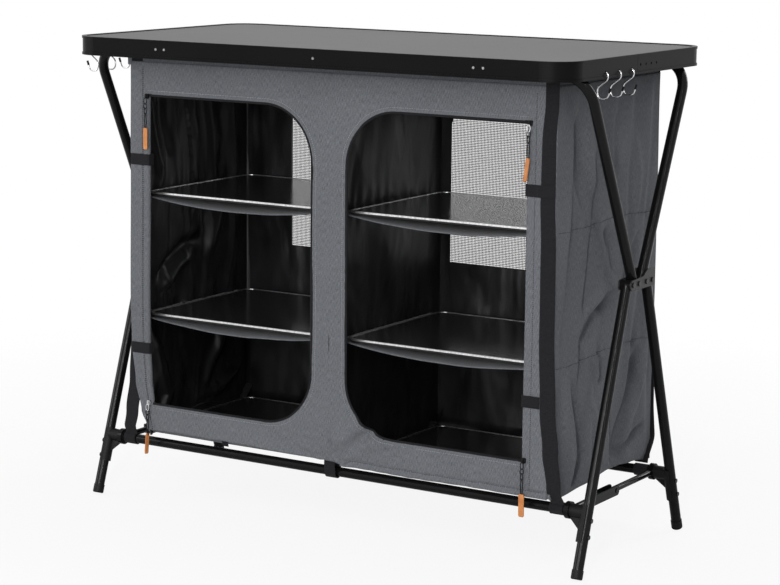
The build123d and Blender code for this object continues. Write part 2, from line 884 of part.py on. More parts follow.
save("front_panel", make_front_panel())
save("rear_panel", make_rear_panel())
save("side_panel_right", make_side_wall(panel_back, 0.4))
save("side_panel_left", left_of(make_side_wall(strap_back, 1.9)))
save("centre_divider", folded_wall(panel_back, 1.1))
save("base_sheet", *make_base())
save("top_hem", make_hem())
net = make_net()
save("mesh_windows", net, left_of(net))
tape = make_zip_tape()
save("zip_tapes", tape, left_of(tape))
roll = make_door_roll()
save("door_rolls", roll, left_of(roll))
hem_inner = body_half_width - cloth
upper_tie, lower_tie = tab_heights
tab_outer = body_half_width - strap_width / 5
panel_face = -body_front - cloth / 2
tab_over_strap = make_tab(upper_tie, tab_outer, panel_face - webbing - slide_gap)
tab_beside_strap = make_tab(lower_tie, body_half_width - strap_width - slide_gap, panel_face)
right_tabs = [tab_over_strap, tab_beside_strap]
left_tabs = [left_of(make_tab(height, tab_outer, panel_face)) for height in tab_heights]
front_right_strap = make_corner_strap(panel_face - webbing / 2, body_half_width)
front_left_strap = left_of(make_corner_strap(panel_back + webbing / 2, hem_inner))
rear_strap = make_corner_strap(body_rear + cloth / 2 + webbing / 2, body_half_width)
save("webbing_straps", *right_tabs, *left_tabs, front_right_strap, front_left_strap, rear_strap,
     left_of(rear_strap))
foot_strap = body_half_width + strap_flare
corner_loop = make_rail_loop(foot_strap - foot_strap_width, foot_strap)
centre_loop = make_rail_loop(-centre_loop_width / 2, centre_loop_width / 2)
save("rail_loops_front", corner_loop, left_of(corner_loop), centre_loop)
save("rail_loops_rear", rear_of(corner_loop), rear_of(left_of(corner_loop)), rear_of(centre_loop))

slings = []
for height in shelf_heights:
    under = height - board_thickness - 2 * edge_skin
    sling = make_sling(under)
    slings += [sling, left_of(sling)]
save("shelf_slings", *slings)
board_levels = {
    "upper": shelf_heights[0] - board_thickness - 2 * edge_skin,
    "lower": shelf_heights[1] - board_thickness - 2 * edge_skin,
    "base": base_height + cloth,
}
for level, under in board_levels.items():
    save("board_%s_right" % level, *place_board(under, 1))
    save("board_%s_left" % level, *place_board(under, -1))

slider = make_slider()
pull = make_pull()
for side_name, side in (("right", 1), ("left", -1)):
    for end_name, upper in (("upper", True), ("lower", False)):
        save("zip_slider_%s_%s" % (end_name, side_name), place_zip_piece(slider, side, upper))
        pieces = [place_zip_piece(piece, side, upper) for piece in pull]
        save("zip_pull_%s_%s" % (end_name, side_name), *pieces)

print("rail spread %.3f, run %.3f" % (rail_spread, rail_run))
print("leg tilt %.4f, bar tilt %.4f, bar height %.3f" % (leg_tilt, bar_tilt, bar_height))
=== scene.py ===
import math

import bmesh
import bpy
from mathutils import Matrix, Vector, noise


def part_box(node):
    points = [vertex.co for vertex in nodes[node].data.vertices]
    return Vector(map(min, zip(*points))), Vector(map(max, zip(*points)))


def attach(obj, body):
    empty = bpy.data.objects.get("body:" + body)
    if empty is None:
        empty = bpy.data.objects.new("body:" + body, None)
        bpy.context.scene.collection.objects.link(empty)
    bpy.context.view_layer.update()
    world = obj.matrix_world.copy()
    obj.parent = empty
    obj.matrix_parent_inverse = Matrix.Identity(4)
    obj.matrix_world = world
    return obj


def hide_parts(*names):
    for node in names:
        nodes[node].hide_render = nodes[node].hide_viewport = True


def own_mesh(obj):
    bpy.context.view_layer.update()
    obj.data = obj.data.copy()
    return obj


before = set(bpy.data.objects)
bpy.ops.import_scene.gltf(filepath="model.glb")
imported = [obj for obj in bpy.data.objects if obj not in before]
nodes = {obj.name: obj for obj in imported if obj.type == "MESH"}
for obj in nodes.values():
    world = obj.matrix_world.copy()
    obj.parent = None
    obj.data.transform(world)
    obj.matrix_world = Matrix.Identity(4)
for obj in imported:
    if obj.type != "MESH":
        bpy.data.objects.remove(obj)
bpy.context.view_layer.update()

root = "cloth_body"
print("stage: frame loaded,", len(nodes), "nodes")


# Materials

def newMaterial(name):
    material = bpy.data.materials.new(name)
    material.use_nodes = True
    tree = material.node_tree
    return material, tree, tree.nodes["Principled BSDF"]


# Inputs may be plain values or sockets of other nodes.
def setInputs(tree, node, inputs):
    for key, value in inputs.items():
        if isinstance(value, bpy.types.NodeSocket):
            tree.links.new(value, node.inputs[key])
        else:
            node.inputs[key].default_value = value


def addNode(tree, kind, inputs=None, **settings):
    node = tree.nodes.new(kind)
    for key, value in settings.items():
        setattr(node, key, value)
    setInputs(tree, node, inputs or {})
    return node


def objectPlace(tree):
    return addNode(tree, "ShaderNodeTexCoord").outputs["Object"]


def addMapping(tree, scale):
    return addNode(tree, "ShaderNodeMapping", {0: objectPlace(tree), "Scale": scale}).outputs[0]


def addNoise(tree, vector, scale, detail=2.0, roughness=0.5, distortion=0.0):
    return addNode(tree, "ShaderNodeTexNoise", {
        "Vector": vector, "Scale": scale, "Detail": detail, "Roughness": roughness, "Distortion": distortion,
    }).outputs[0]


# Zero up to the first value of the span, one from the second on.
def addFade(tree, value, span):
    inputs = {"Value": value, "From Min": span["from"], "From Max": span["to"]}
    return addNode(tree, "ShaderNodeMapRange", inputs).outputs[0]


def addRamp(tree, factor, stops):
    node = addNode(tree, "ShaderNodeValToRGB", {"Fac": factor})
    ramp = node.color_ramp
    while len(ramp.elements) < len(stops):
        ramp.elements.new(0.5)
    for element, (position, colour) in zip(ramp.elements, stops):
        element.position = position
        element.color = (*colour, 1.0)
    return node.outputs["Color"]


def addMath(tree, operation, first, second=0.0, third=0.0):
    return addNode(tree, "ShaderNodeMath", {0: first, 1: second, 2: third}, operation=operation).outputs[0]


# The value times the factor, plus the rest.
def addScaled(tree, value, factor, rest=0.0):
    return addMath(tree, "MULTIPLY_ADD", value, factor, rest)


def addBump(tree, height, distance, strength=1.0, normal=None):
    inputs = {"Height": height, "Distance": distance, "Strength": strength}
    if normal is not None:
        inputs["Normal"] = normal
    return addNode(tree, "ShaderNodeBump", inputs).outputs["Normal"]


# look holds the material, its tree and its shader, as newMaterial gives them.
def finishLook(look, colour, rough, normal, gloss=0.5, metal=0.0):
    material, tree, shader = look
    setInputs(tree, shader, {"Base Color": colour, "Roughness": rough, "Normal": normal,
                             "Specular IOR Level": gloss, "Metallic": metal})
    return material


def addWave(tree, place, pitch):
    return addMath(tree, "SINE", addMath(tree, "MULTIPLY", place, 2 * math.pi / pitch))


# Two axes that lie in the cloth: across and along the warp.
def clothAxes(tree, flat):
    parts = addNode(tree, "ShaderNodeSeparateXYZ", {0: objectPlace(tree)}).outputs
    if flat:
        return parts["X"], parts["Y"]
    return addMath(tree, "ADD", parts["X"], parts["Y"]), parts["Z"]


def stretched(tree, across, along, acrossScale, alongScale):
    x = addMath(tree, "MULTIPLY", across, acrossScale)
    y = addMath(tree, "MULTIPLY", along, alongScale)
    return addNode(tree, "ShaderNodeCombineXYZ", {0: x, 1: y}).outputs[0]


greyCloth = {
    "dark": (0.056, 0.059, 0.066),
    "middle": (0.122, 0.127, 0.139),
    "light": (0.222, 0.230, 0.247),
    "threadsPerMetre": 1100.0,
    "ribPitch": 0.0030,
    "ribSlant": 0.30,
    "ribShare": 0.055,
    "rough": 0.88,
    "sheen": 0.10,
    "gloss": 0.2,
}


# Heather twill: fine warp and weft threads under a faint diagonal rib.
def makeGreyCloth(name, flat=False):
    look = newMaterial(name)
    tree = look[1]
    across, along = clothAxes(tree, flat)
    fine = greyCloth["threadsPerMetre"]
    warp = addNoise(tree, stretched(tree, across, along, fine, fine / 9), 1.0, 2.0, 0.6)
    weft = addNoise(tree, stretched(tree, across, along, fine / 5, fine), 1.0, 2.0, 0.6)
    threads = addScaled(tree, warp, 0.46, addScaled(tree, weft, 0.30, 0.12))
    diagonal = addScaled(tree, along, greyCloth["ribSlant"], across)
    ribs = addWave(tree, diagonal, greyCloth["ribPitch"])
    heather = addScaled(tree, ribs, greyCloth["ribShare"], threads)
    patches = addNoise(tree, objectPlace(tree), 9.0, 2.0)
    mixed = addScaled(tree, patches, 0.05, addMath(tree, "SUBTRACT", heather, 0.025))
    colour = addRamp(tree, mixed, [
        (0.34, greyCloth["dark"]), (0.50, greyCloth["middle"]), (0.68, greyCloth["light"])])
    creases = addNoise(tree, objectPlace(tree), 30.0, 4.0, 0.55, 0.6)
    soft = addBump(tree, creases, 0.0016, 0.25)
    normal = addBump(tree, heather, 0.0005, 0.7, soft)
    setInputs(tree, look[2], {"Sheen Weight": greyCloth["sheen"], "Sheen Roughness": 0.5})
    return finishLook(look, colour, greyCloth["rough"], normal, gloss=greyCloth["gloss"])


blackLining = {
    "dark": (0.004, 0.004, 0.0045), "light": (0.014, 0.014, 0.016), "creaseDepth": 0.020, "rough": 0.30,
    "gloss": 0.34,
}


# Coated lining: black, with crumples that catch the light.
def makeLining():
    look = newMaterial("blackLining")
    tree = look[1]
    place = objectPlace(tree)
    tall = addMapping(tree, (1.0, 1.0, 0.42))
    big = addNoise(tree, tall, 9.0, 2.0, 0.45, 0.6)
    small = addNoise(tree, tall, 30.0, 3.0, 0.5, 0.4)
    weave = addNoise(tree, place, 1500.0, 1.0)
    colour = addRamp(tree, small, [(0.3, blackLining["dark"]), (0.75, blackLining["light"])])
    rough = addScaled(tree, small, 0.20, blackLining["rough"])
    normal = addBump(tree, big, blackLining["creaseDepth"], 0.9)
    normal = addBump(tree, small, 0.0014, 0.7, normal)
    normal = addBump(tree, weave, 0.0002, 0.35, normal)
    return finishLook(look, colour, rough, normal, gloss=blackLining["gloss"])


webbing = {
    "dark": (0.006, 0.006, 0.007), "light": (0.014, 0.014, 0.016), "ribPitch": 0.0024, "yarnPitch": 0.0016,
    "rough": 0.75, "gloss": 0.12,
}


def makeWebbing():
    look = newMaterial("blackWebbing")
    tree = look[1]
    across, along = clothAxes(tree, False)
    ribs = addWave(tree, along, webbing["ribPitch"])
    chevrons = addWave(tree, across, webbing["yarnPitch"])
    lumps = addNoise(tree, objectPlace(tree), 700.0, 2.0)
    height = addScaled(tree, ribs, 0.5, addScaled(tree, chevrons, 0.25, lumps))
    colour = addRamp(tree, lumps, [(0.3, webbing["dark"]), (0.7, webbing["light"])])
    setInputs(tree, look[2], {"Sheen Weight": 0.05})
    normal = addBump(tree, height, 0.0004, 0.8)
    return finishLook(look, colour, webbing["rough"], normal, gloss=webbing["gloss"])


# Dark and light tone, roughness and its spread, grains per metre, depth of the grain, gloss
coatings = {
    "blackTube": ((0.0035, 0.0035, 0.0038), (0.0065, 0.0065, 0.0070), 0.15, 0.04, 260.0, 0.00008, 0.13),
    "blackProfile": ((0.0022, 0.0022, 0.0024), (0.0045, 0.0045, 0.0048), 0.36, 0.08, 1400.0, 0.00008, 0.06),
    "pressedPlate": ((0.012, 0.012, 0.013), (0.022, 0.022, 0.023), 0.42, 0.10, 500.0, 0.0001, 0.30),
    "blackBolt": ((0.003, 0.003, 0.003), (0.007, 0.007, 0.007), 0.26, 0.08, 500.0, 0.0001, 0.30),
    "blackPlastic": ((0.004, 0.004, 0.0043), (0.008, 0.008, 0.0085), 0.48, 0.10, 1800.0, 0.00012, 0.14),
    "paleThread": ((0.20, 0.205, 0.215), (0.42, 0.425, 0.44), 0.80, 0.05, 900.0, 0.0001, 0.20),
    "darkThread": ((0.014, 0.014, 0.016), (0.030, 0.030, 0.034), 0.80, 0.05, 900.0, 0.0001, 0.20),
}


# Smooth or grained surfaces with a little change of tone and gloss over them.
def makeCoated(name):
    dark, light, rough, spread, grain, depth, gloss = coatings[name]
    look = newMaterial(name)
    tree = look[1]
    place = objectPlace(tree)
    fine = addNoise(tree, place, grain, 3.0)
    broad = addNoise(tree, place, 5.0, 3.0)
    tone = addScaled(tree, fine, 0.4, addMath(tree, "MULTIPLY", broad, 0.6))
    colour = addRamp(tree, tone, [(0.32, dark), (0.68, light)])
    roughness = addScaled(tree, broad, spread, rough - spread / 2)
    return finishLook(look, colour, roughness, addBump(tree, fine, depth, 0.6), gloss)


# Dark and light tone, roughness
brushed = {
    "brightSteel": ((0.40, 0.40, 0.41), (0.62, 0.62, 0.63), 0.32),
    "dullRivet": ((0.16, 0.16, 0.17), (0.30, 0.30, 0.31), 0.42),
    "polishedWire": ((0.45, 0.45, 0.46), (0.72, 0.72, 0.73), 0.16),
    "zincDiecast": ((0.40, 0.40, 0.41), (0.66, 0.66, 0.67), 0.30),
}


def makeBrushed(name):
    dark, light, rough = brushed[name]
    look = newMaterial(name)
    tree = look[1]
    lines = addNoise(tree, addMapping(tree, (60.0, 60.0, 1600.0)), 1.0, 3.0)
    colour = addRamp(tree, lines, [(0.25, dark), (0.75, light)])
    roughness = addScaled(tree, lines, 0.12, rough - 0.06)
    return finishLook(look, colour, roughness, addBump(tree, lines, 0.0001, 0.4), metal=1.0)


# Dark and light tone, roughness, gloss
laminates = {
    "tableLaminate": ((0.044, 0.044, 0.045), (0.070, 0.070, 0.072), 0.50, 0.32),
    "boardLaminate": ((0.013, 0.013, 0.0135), (0.024, 0.024, 0.025), 0.15, 0.72),
}


def makeLaminate(name):
    dark, light, rough, gloss = laminates[name]
    look = newMaterial(name)
    tree = look[1]
    place = objectPlace(tree)
    streaks = addNoise(tree, addMapping(tree, (90.0, 1400.0, 90.0)), 1.0, 4.0, 0.6)
    specks = addNoise(tree, place, 900.0, 2.0)
    broad = addNoise(tree, place, 3.0, 2.0)
    mixed = addScaled(tree, specks, 0.35, addMath(tree, "MULTIPLY", broad, 0.25))
    mixed = addScaled(tree, streaks, 0.4, mixed)
    colour = addRamp(tree, mixed, [(0.34, dark), (0.66, light)])
    roughness = addScaled(tree, broad, 0.08, rough - 0.04)
    return finishLook(look, colour, roughness, addBump(tree, specks, 0.0001, 0.3), gloss)


# The dark tone for the lower part of the edge, under the trim, is a painted shadow.
trim = {
    "dark": (0.46, 0.46, 0.46), "light": (0.80, 0.80, 0.80), "core": (0.012, 0.012, 0.013), "rough": 0.34,
    "from": 0.44, "to": 0.52,
}


# The bright trim covers the upper part of a board's edge; below it the edge is painted dark, a painted shadow
# of the shade between board and sling.
def makeTrim():
    look = newMaterial("boardTrim")
    tree = look[1]
    lines = addNoise(tree, objectPlace(tree), 240.0, 3.0)
    bright = addRamp(tree, lines, [(0.3, trim["dark"]), (0.7, trim["light"])])
    place = addNode(tree, "ShaderNodeTexCoord").outputs["Generated"]
    rise = addNode(tree, "ShaderNodeSeparateXYZ", {0: place}).outputs["Z"]
    upper = addFade(tree, rise, trim)
    # Painted shadow: under the trim the edge gets the flat dark tone and no metal.
    mixed = addNode(tree, "ShaderNodeMix", {0: upper, 6: (*trim["core"], 1.0), 7: bright}, data_type="RGBA")
    roughness = addScaled(tree, lines, 0.12, trim["rough"] - 0.06)
    normal = addBump(tree, lines, 0.0001, 0.3)
    return finishLook(look, mixed.outputs[2], roughness, normal, gloss=0.2, metal=upper)


leather = {"dark": (0.44, 0.150, 0.036), "light": (0.62, 0.235, 0.062), "rough": 0.5}


def makeLeather():
    look = newMaterial("orangeLeather")
    tree = look[1]
    place = objectPlace(tree)
    cells = addNode(tree, "ShaderNodeTexVoronoi", {"Vector": place, "Scale": 1100.0}).outputs["Distance"]
    broad = addNoise(tree, place, 60.0, 3.0)
    colour = addRamp(tree, broad, [(0.3, leather["dark"]), (0.7, leather["light"])])
    return finishLook(look, colour, leather["rough"], addBump(tree, cells, 0.0003, 0.5))


clothMat = makeGreyCloth("greyCloth")
clothFlatMat = makeGreyCloth("greyClothFlat", flat=True)
liningMat = makeLining()
webbingMat = makeWebbing()
tubeMat = makeCoated("blackTube")
profileMat = makeCoated("blackProfile")
plateMat = makeCoated("pressedPlate")
boltMat = makeCoated("blackBolt")
plasticMat = makeCoated("blackPlastic")
threadMat = makeCoated("paleThread")
darkThreadMat = makeCoated("darkThread")
steelMat = makeBrushed("brightSteel")
rivetMat = makeBrushed("dullRivet")
wireMat = makeBrushed("polishedWire")
zincMat = makeBrushed("zincDiecast")
edgeMat = makeTrim()
topMat = makeLaminate("tableLaminate")
boardMat = makeLaminate("boardLaminate")
leatherMat = makeLeather()
print("stage: materials")


# Rigid pieces keep the shape they have

def linkObject(name, data):
    item = bpy.data.objects.new(name, data)
    bpy.context.scene.collection.objects.link(item)
    return item


def setMaterials(mesh, materials, smooth=True):
    mesh.materials.clear()
    for material in materials:
        mesh.materials.append(material)
    if smooth:
        mesh.shade_smooth()


def dress(names, *materials):
    for name in names:
        setMaterials(nodes[name].data, materials, smooth=False)


# Moves the faces of one node to its second material where the test holds.
def paintFaces(name, test):
    for face in nodes[name].data.polygons:
        face.material_index = 1 if test(face.center) else 0


dress(["table_panel"], topMat)
dress(["table_profile"], profileMat)
dress(["table_rivets"], rivetMat)
dress(["hub_plates_left", "hub_plates_right"], plateMat)
dress(["bar_clips", "brackets_front", "brackets_rear", "feet_front", "feet_rear"], plasticMat)
dress(["table_battens", "screws_front", "screws_rear", "hub_bolts"], boltMat)
dress(["upper_tube_front", "upper_tube_rear", "rail_front", "rail_rear"], tubeMat)
for end in ("front", "rear"):
    for side in ("left", "right"):
        dress(["leg_%s_%s" % (end, side), "brace_%s_%s" % (end, side)], tubeMat)

hookTip = {"x": 0.5038, "low": 0.7984, "high": 0.812}
for side in ("left", "right"):
    for number in (1, 2, 3):
        hook = "s_hook_%s_%d" % (side, number)
        dress([hook], wireMat, plasticMat)
        paintFaces(hook, lambda c: abs(c.x) > hookTip["x"] and hookTip["low"] < c.z < hookTip["high"])

boardEdge = {"width": 0.0042, "radius": 0.020}
for level in ("upper", "lower", "base"):
    for side in ("left", "right"):
        board = "board_%s_%s" % (level, side)
        dress([board], boardMat, edgeMat)
        low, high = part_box(board)

        def onEdge(centre, low=low, high=high):
            inset = boardEdge["width"]
            inner = boardEdge["radius"] - inset
            dx = max(low[0] + inset + inner - centre.x, centre.x - (high[0] - inset - inner), 0.0)
            dy = max(low[1] + inset + inner - centre.y, centre.y - (high[1] - inset - inner), 0.0)
            return math.hypot(dx, dy) > inner * 0.98

        paintFaces(board, onEdge)
print("stage: rigid nodes")


# Cloth helpers

def makeObject(name, vertices, faces, materials, smooth=True):
    mesh = bpy.data.meshes.new(name)
    mesh.from_pydata([tuple(v) for v in vertices], [], faces)
    mesh.update()
    setMaterials(mesh, materials, smooth)
    return linkObject(name, mesh)


def editMesh(item, change):
    work = bmesh.new()
    work.from_mesh(item.data)
    change(work)
    work.to_mesh(item.data)
    work.free()


def mergeDoubles(item, distance=0.00005):
    editMesh(item, lambda work: bmesh.ops.remove_doubles(work, verts=work.verts, dist=distance))


# Turns every face so that it looks along the given direction.
def faceTowards(item, *direction):
    def turnFaces(work):
        work.normal_update()
        wrong = [face for face in work.faces if face.normal.dot(Vector(direction)) < 0]
        bmesh.ops.reverse_faces(work, faces=wrong)

    editMesh(item, turnFaces)


def evaluatedMesh(item):
    bpy.context.view_layer.update()
    graph = bpy.context.evaluated_depsgraph_get()
    return bpy.data.meshes.new_from_object(item.evaluated_get(graph))


def applyModifiers(item):
    mesh = evaluatedMesh(item)
    item.modifiers.clear()
    item.data = mesh


def thicken(item, thickness, backSlot=1):
    solid = item.modifiers.new("thickness", "SOLIDIFY")
    solid.thickness = thickness
    solid.offset = 0.0
    solid.material_offset = backSlot
    solid.material_offset_rim = 0
    applyModifiers(item)


def clamp(value, low=0.0, high=1.0):
    return max(low, min(high, value))


def smoothStep(value):
    share = clamp(value)
    return share * share * (3 - 2 * share)


# A value read off a list of (place, value) pairs, with soft turns at the pairs.
def along(pairs, place):
    if place <= pairs[0][0]:
        return pairs[0][1]
    for (lowPlace, lowValue), (highPlace, highValue) in zip(pairs, pairs[1:]):
        if place <= highPlace:
            return lowValue + (highValue - lowValue) * smoothStep((place - lowPlace) / (highPlace - lowPlace))
    return pairs[-1][1]


def noiseAt(*place):
    return noise.noise(Vector(place))


def ridge(*place):
    return 1.0 - min(1.0, 2.2 * abs(noiseAt(*place)))


# The same line of vectors, with places about a spacing apart.
def densify(line, spacing, rounding=int):
    dense = []
    for first, second in zip(line, line[1:]):
        pieces = max(1, rounding((second - first).length / spacing))
        dense += [first.lerp(second, k / pieces) for k in range(pieces)]
    return dense + [line[-1]]


# Height of a set of drawn creases at one place of a flat cloth.
def creaseHeight(creases, a, b):
    total = 0.0
    for depth, width, *line in creases:
        best = 1.0
        run = 0.0
        for number, (first, second) in enumerate(zip(line, line[1:])):
            da, db = second[0] - first[0], second[1] - first[1]
            share = clamp(((a - first[0]) * da + (b - first[1]) * db) / (da * da + db * db))
            gap = math.hypot(a - first[0] - da * share, b - first[1] - db * share)
            if gap < best:
                best = gap
                run = (number + share) / (len(line) - 1)
        if best < 3 * width:
            ends = min(1.0, 5.0 * run + 0.15, 5.0 * (1.0 - run) + 0.15)
            total += depth * ends * math.exp(-(best / width) ** 2)
    return total


def gridFaces(columns, rows, closed=False):
    faces = []
    for row in range(rows - 1):
        for column in range(columns if closed else columns - 1):
            a = row * columns + column
            b = row * columns + (column + 1) % columns
            faces.append((a, b, b + columns, a + columns))
    return faces


def gridSheet(name, columns, rows, place, materials):
    vertices = []
    for row in range(rows):
        for column in range(columns):
            vertices.append(place(column / (columns - 1), row / (rows - 1)))
    return makeObject(name, vertices, gridFaces(columns, rows), materials)


# Cloth that hangs from the bars and folds flat with the frame.
def hang(item):
    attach(item, root)
    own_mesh(item)


seam = {
    "length": 0.0021, "pitch": 0.0036, "width": 0.0007, "sunk": 0.0002, "offset": 0.0065, "lift": 0.00095,
    "window": 0.006, "end": 0.004, "wallLow": 0.128, "wallLift": 0.0009, "hemLift": 0.0007,
    "margins": {1: (0.016,), -1: (0.014, 0.0165)},
}


# Stitches: short rounded threads laid along a line of places, out of the cloth along a normal.
def makeStitches(name, line, normal, material):
    vertices = []
    faces = []
    normal = Vector(normal)
    carried = 0.0
    for first, second in zip(line, line[1:]):
        first, second = Vector(first), Vector(second)
        step = second - first
        length = step.length
        if length < 1e-7:
            continue
        direction = step / length
        across = direction.cross(normal).normalized()
        while carried <= length:
            centre = first + direction * carried
            start = len(vertices)
            for a, half, lift in ((-0.5, 0.35, 0.1), (-0.3, 0.5, 0.9), (0.3, 0.5, 0.9), (0.5, 0.35, 0.1)):
                for b in (-1, 1):
                    for c in (0.0, lift):
                        middle = centre + direction * a * seam["length"] + across * b * half * seam["width"]
                        vertices.append(middle + normal * (c * seam["width"] - seam["sunk"]))
            for k in range(3):
                base = start + 4 * k
                faces.append((base, base + 4, base + 5, base + 1))
                faces.append((base + 2, base + 3, base + 7, base + 6))
                faces.append((base + 1, base + 5, base + 7, base + 3))
                faces.append((base, base + 2, base + 6, base + 4))
            faces.append((start, start + 1, start + 3, start + 2))
            faces.append((start + 12, start + 14, start + 15, start + 13))
            carried += seam["pitch"]
        carried -= length
    item = makeObject(name, vertices, faces, [material])
    hang(item)


sides = {"Right": 1, "Left": -1}
body = {
    "halfWidth": 0.441, "front": -0.17675, "rear": 0.19805, "low": 0.120, "high": 0.8015, "sheetTop": 0.8090,
    "hemTop": 0.8235, "base": 0.124, "shelves": (0.347, 0.571), "cloth": 0.0015, "foldDepth": 0.006,
}
halfCloth = body["cloth"] / 2


# Gives a sheet its thickness and hides the node that it stands for.
def closeSheet(item, node, slotName, thickness=body["cloth"]):
    thicken(item, thickness)
    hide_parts(node)


# Zero at a shelf line, one half way between two lines; also the number of the bay.
def bayFold(z):
    lines = [body["base"], body["shelves"][0], body["shelves"][1], body["high"]]
    for number in range(3):
        if lines[number] <= z <= lines[number + 1]:
            return math.sin(math.pi * (z - lines[number]) / (lines[number + 1] - lines[number])), number
    return 0.0, 0


# Front cloth. It is one piece with the doors, so its outer door edges roll inwards.

frontPanel = {
    "crease": 0.0020, "creaseScale": 1.5, "pleat": 0.0032, "gather": 0.0014, "pucker": 0.0008,
    "rings": 26, "turns": 360, "curl": 0.0045, "loopPlace": (0.006, 0.136),
}
door = {
    "inner": 0.034, "outer": {1: 0.386, -1: 0.394}, "low": 0.182, "high": 0.751, "radius": 0.100,
    "tape": 0.0046, "endGap": 0.0004,
}
frontLowEdge = [
    (-0.441, 0.133), (-0.36, 0.1350), (-0.24, 0.1352), (-0.06, 0.1320), (0.0, 0.1315), (0.04, 0.1270),
    (0.19, 0.1250), (0.30, 0.1262), (0.441, 0.1255),
]
# Depth and width of each crease, then the places it runs through
frontCreases = [
    (-0.0055, 0.0075, (0.018, 0.145), (0.060, 0.178), (0.104, 0.201)),
    (0.0032, 0.0110, (0.012, 0.152), (0.044, 0.190), (0.082, 0.214)),
    (0.0026, 0.0090, (0.040, 0.150), (0.080, 0.168), (0.120, 0.176)),
    (-0.0018, 0.0080, (0.120, 0.186), (0.135, 0.165), (0.139, 0.148)),
    (-0.0014, 0.0070, (0.205, 0.172), (0.216, 0.158), (0.222, 0.146)),
    (-0.0020, 0.0090, (-0.150, 0.176), (-0.120, 0.160), (-0.080, 0.147)),
    (-0.0016, 0.0080, (0.150, 0.757), (0.180, 0.775), (0.220, 0.795)),
    (-0.0014, 0.0080, (0.230, 0.762), (0.262, 0.780), (0.285, 0.798)),
    (-0.0014, 0.0100, (-0.010, 0.230), (-0.006, 0.300), (-0.012, 0.380)),
    (-0.0014, 0.0090, (-0.200, 0.757), (-0.176, 0.775), (-0.160, 0.796)),
]


# How far the cloth stands out of its plane, towards the rear where positive.
def frontFold(x, z):
    top = clamp((body["high"] - z) / 0.05)
    slow = noiseAt(x * 5.0, z * 4.0, 1.7)
    slant = ridge(x * 9.0 + z * 5.0, z * 3.0 - x * 2.0, 8.3) - 0.5
    fine = ridge(x * 21.0, z * 13.0 + x * 8.0, 2.9) - 0.5
    margin = 1.0 - 0.7 * smoothStep((abs(x) - 0.350) / 0.035)
    edge = min(1.0, (body["halfWidth"] - abs(x)) / 0.02)
    bump = top * edge * margin * frontPanel["crease"] * (1.1 * slow + 0.9 * slant + 0.4 * fine)
    gapX, gapZ = x - frontPanel["loopPlace"][0], z - frontPanel["loopPlace"][1]
    reach = math.hypot(gapX, gapZ)
    rays = math.cos(math.atan2(gapZ, gapX) * 12.0 + 0.6)
    pleats = rays * math.exp(-(reach / 0.065) ** 2) * min(1.0, reach / 0.012)
    gather = frontPanel["gather"] * math.cos(x * 2 * math.pi / 0.034 + 3 * slow)
    gather *= math.exp(-((body["sheetTop"] - z) / 0.026) ** 2)
    run = min(abs(z - door["low"] - 0.004), abs(z - door["high"] + 0.004))
    onRun = smoothStep((abs(x) - 0.120) / 0.030)
    calm = 1.0 - 0.65 * onRun * (1.0 - smoothStep((run - 0.006) / 0.022))
    puckers = 0.0
    if z < 0.19:
        puckers = frontPanel["pucker"] * math.cos(x * 2 * math.pi / 0.041 + 5 * slow)
        puckers *= smoothStep((0.19 - z) / 0.02)
    creases = frontPanel["creaseScale"] * creaseHeight(frontCreases, x, z)
    folds = bump - creases + frontPanel["pleat"] * pleats + (gather + puckers) * margin * edge
    return folds * calm


# The left margin is drawn in, most at its loose lower corner: by height, at the door and at the outer edge.
leftDrift = {
    "door": [(0.120, 0.0140), (0.190, 0.0100), (0.228, 0.0055), (0.300, 0.0022), (0.376, 0.0020),
             (0.578, 0.0048), (0.750, 0.0060)],
    "edge": [(0.120, 0.0490), (0.137, 0.0460), (0.169, 0.0310), (0.223, 0.0180), (0.297, 0.0100),
             (0.372, 0.0078), (0.648, 0.0108), (0.800, 0.0125)],
}


def frontDrift(x, z):
    if x > -0.30:
        return 0.0
    atDoor = along(leftDrift["door"], z)
    outside = clamp((-x - door["outer"][-1]) / (body["halfWidth"] - door["outer"][-1]))
    spread = smoothStep((-0.30 - x) / 0.085)
    return spread * atDoor + (along(leftDrift["edge"], z) - atDoor) * outside


def frontPlace(x, z, curlEdge=True):
    share = clamp((door["low"] - z) / (door["low"] - body["low"]))
    newZ = z + share * (along(frontLowEdge, x) - body["low"])
    if x < -0.40:
        corner = clamp((-x - 0.405) / 0.036)
        newZ += 0.004 * share * corner * corner
    y = body["front"] + frontFold(x, newZ)
    outer = door["outer"][1 if x > 0 else -1]
    curl = frontPanel["curl"]
    byDoor = door["low"] - 0.0005 <= z <= door["high"] + 0.0005
    if curlEdge and byDoor and outer - 0.0002 <= abs(x) < outer + curl:
        bend = clamp((outer + curl - abs(x)) / curl)
        y += curl * (1.0 - math.sqrt(max(0.0, 1.0 - bend * bend)))
    return (x + frontDrift(x, newZ), y, newZ)


# The outline of one door opening, drawn in by the given amounts.
def doorOutline(side, insetInner=0.0, insetEnds=0.0, steps=22):
    inner = door["inner"] + insetInner
    outer = door["outer"][side]
    low = door["low"] + insetEnds
    high = door["high"] - insetEnds
    radius = door["radius"] - insetInner
    points = [Vector((outer, low)), Vector((outer, high))]
    centreX = inner + radius
    for start, centreZ in ((0.5, high - radius), (1.0, low + radius)):
        for step in range(steps + 1):
            angle = math.pi * (start + 0.5 * step / steps)
            points.append(Vector((centreX + radius * math.cos(angle), centreZ + radius * math.sin(angle))))
    return points


def boxOutline(x0, x1, z0, z1):
    return [Vector((x1, z0)), Vector((x1, z1)), Vector((x0, z1)), Vector((x0, z0))]


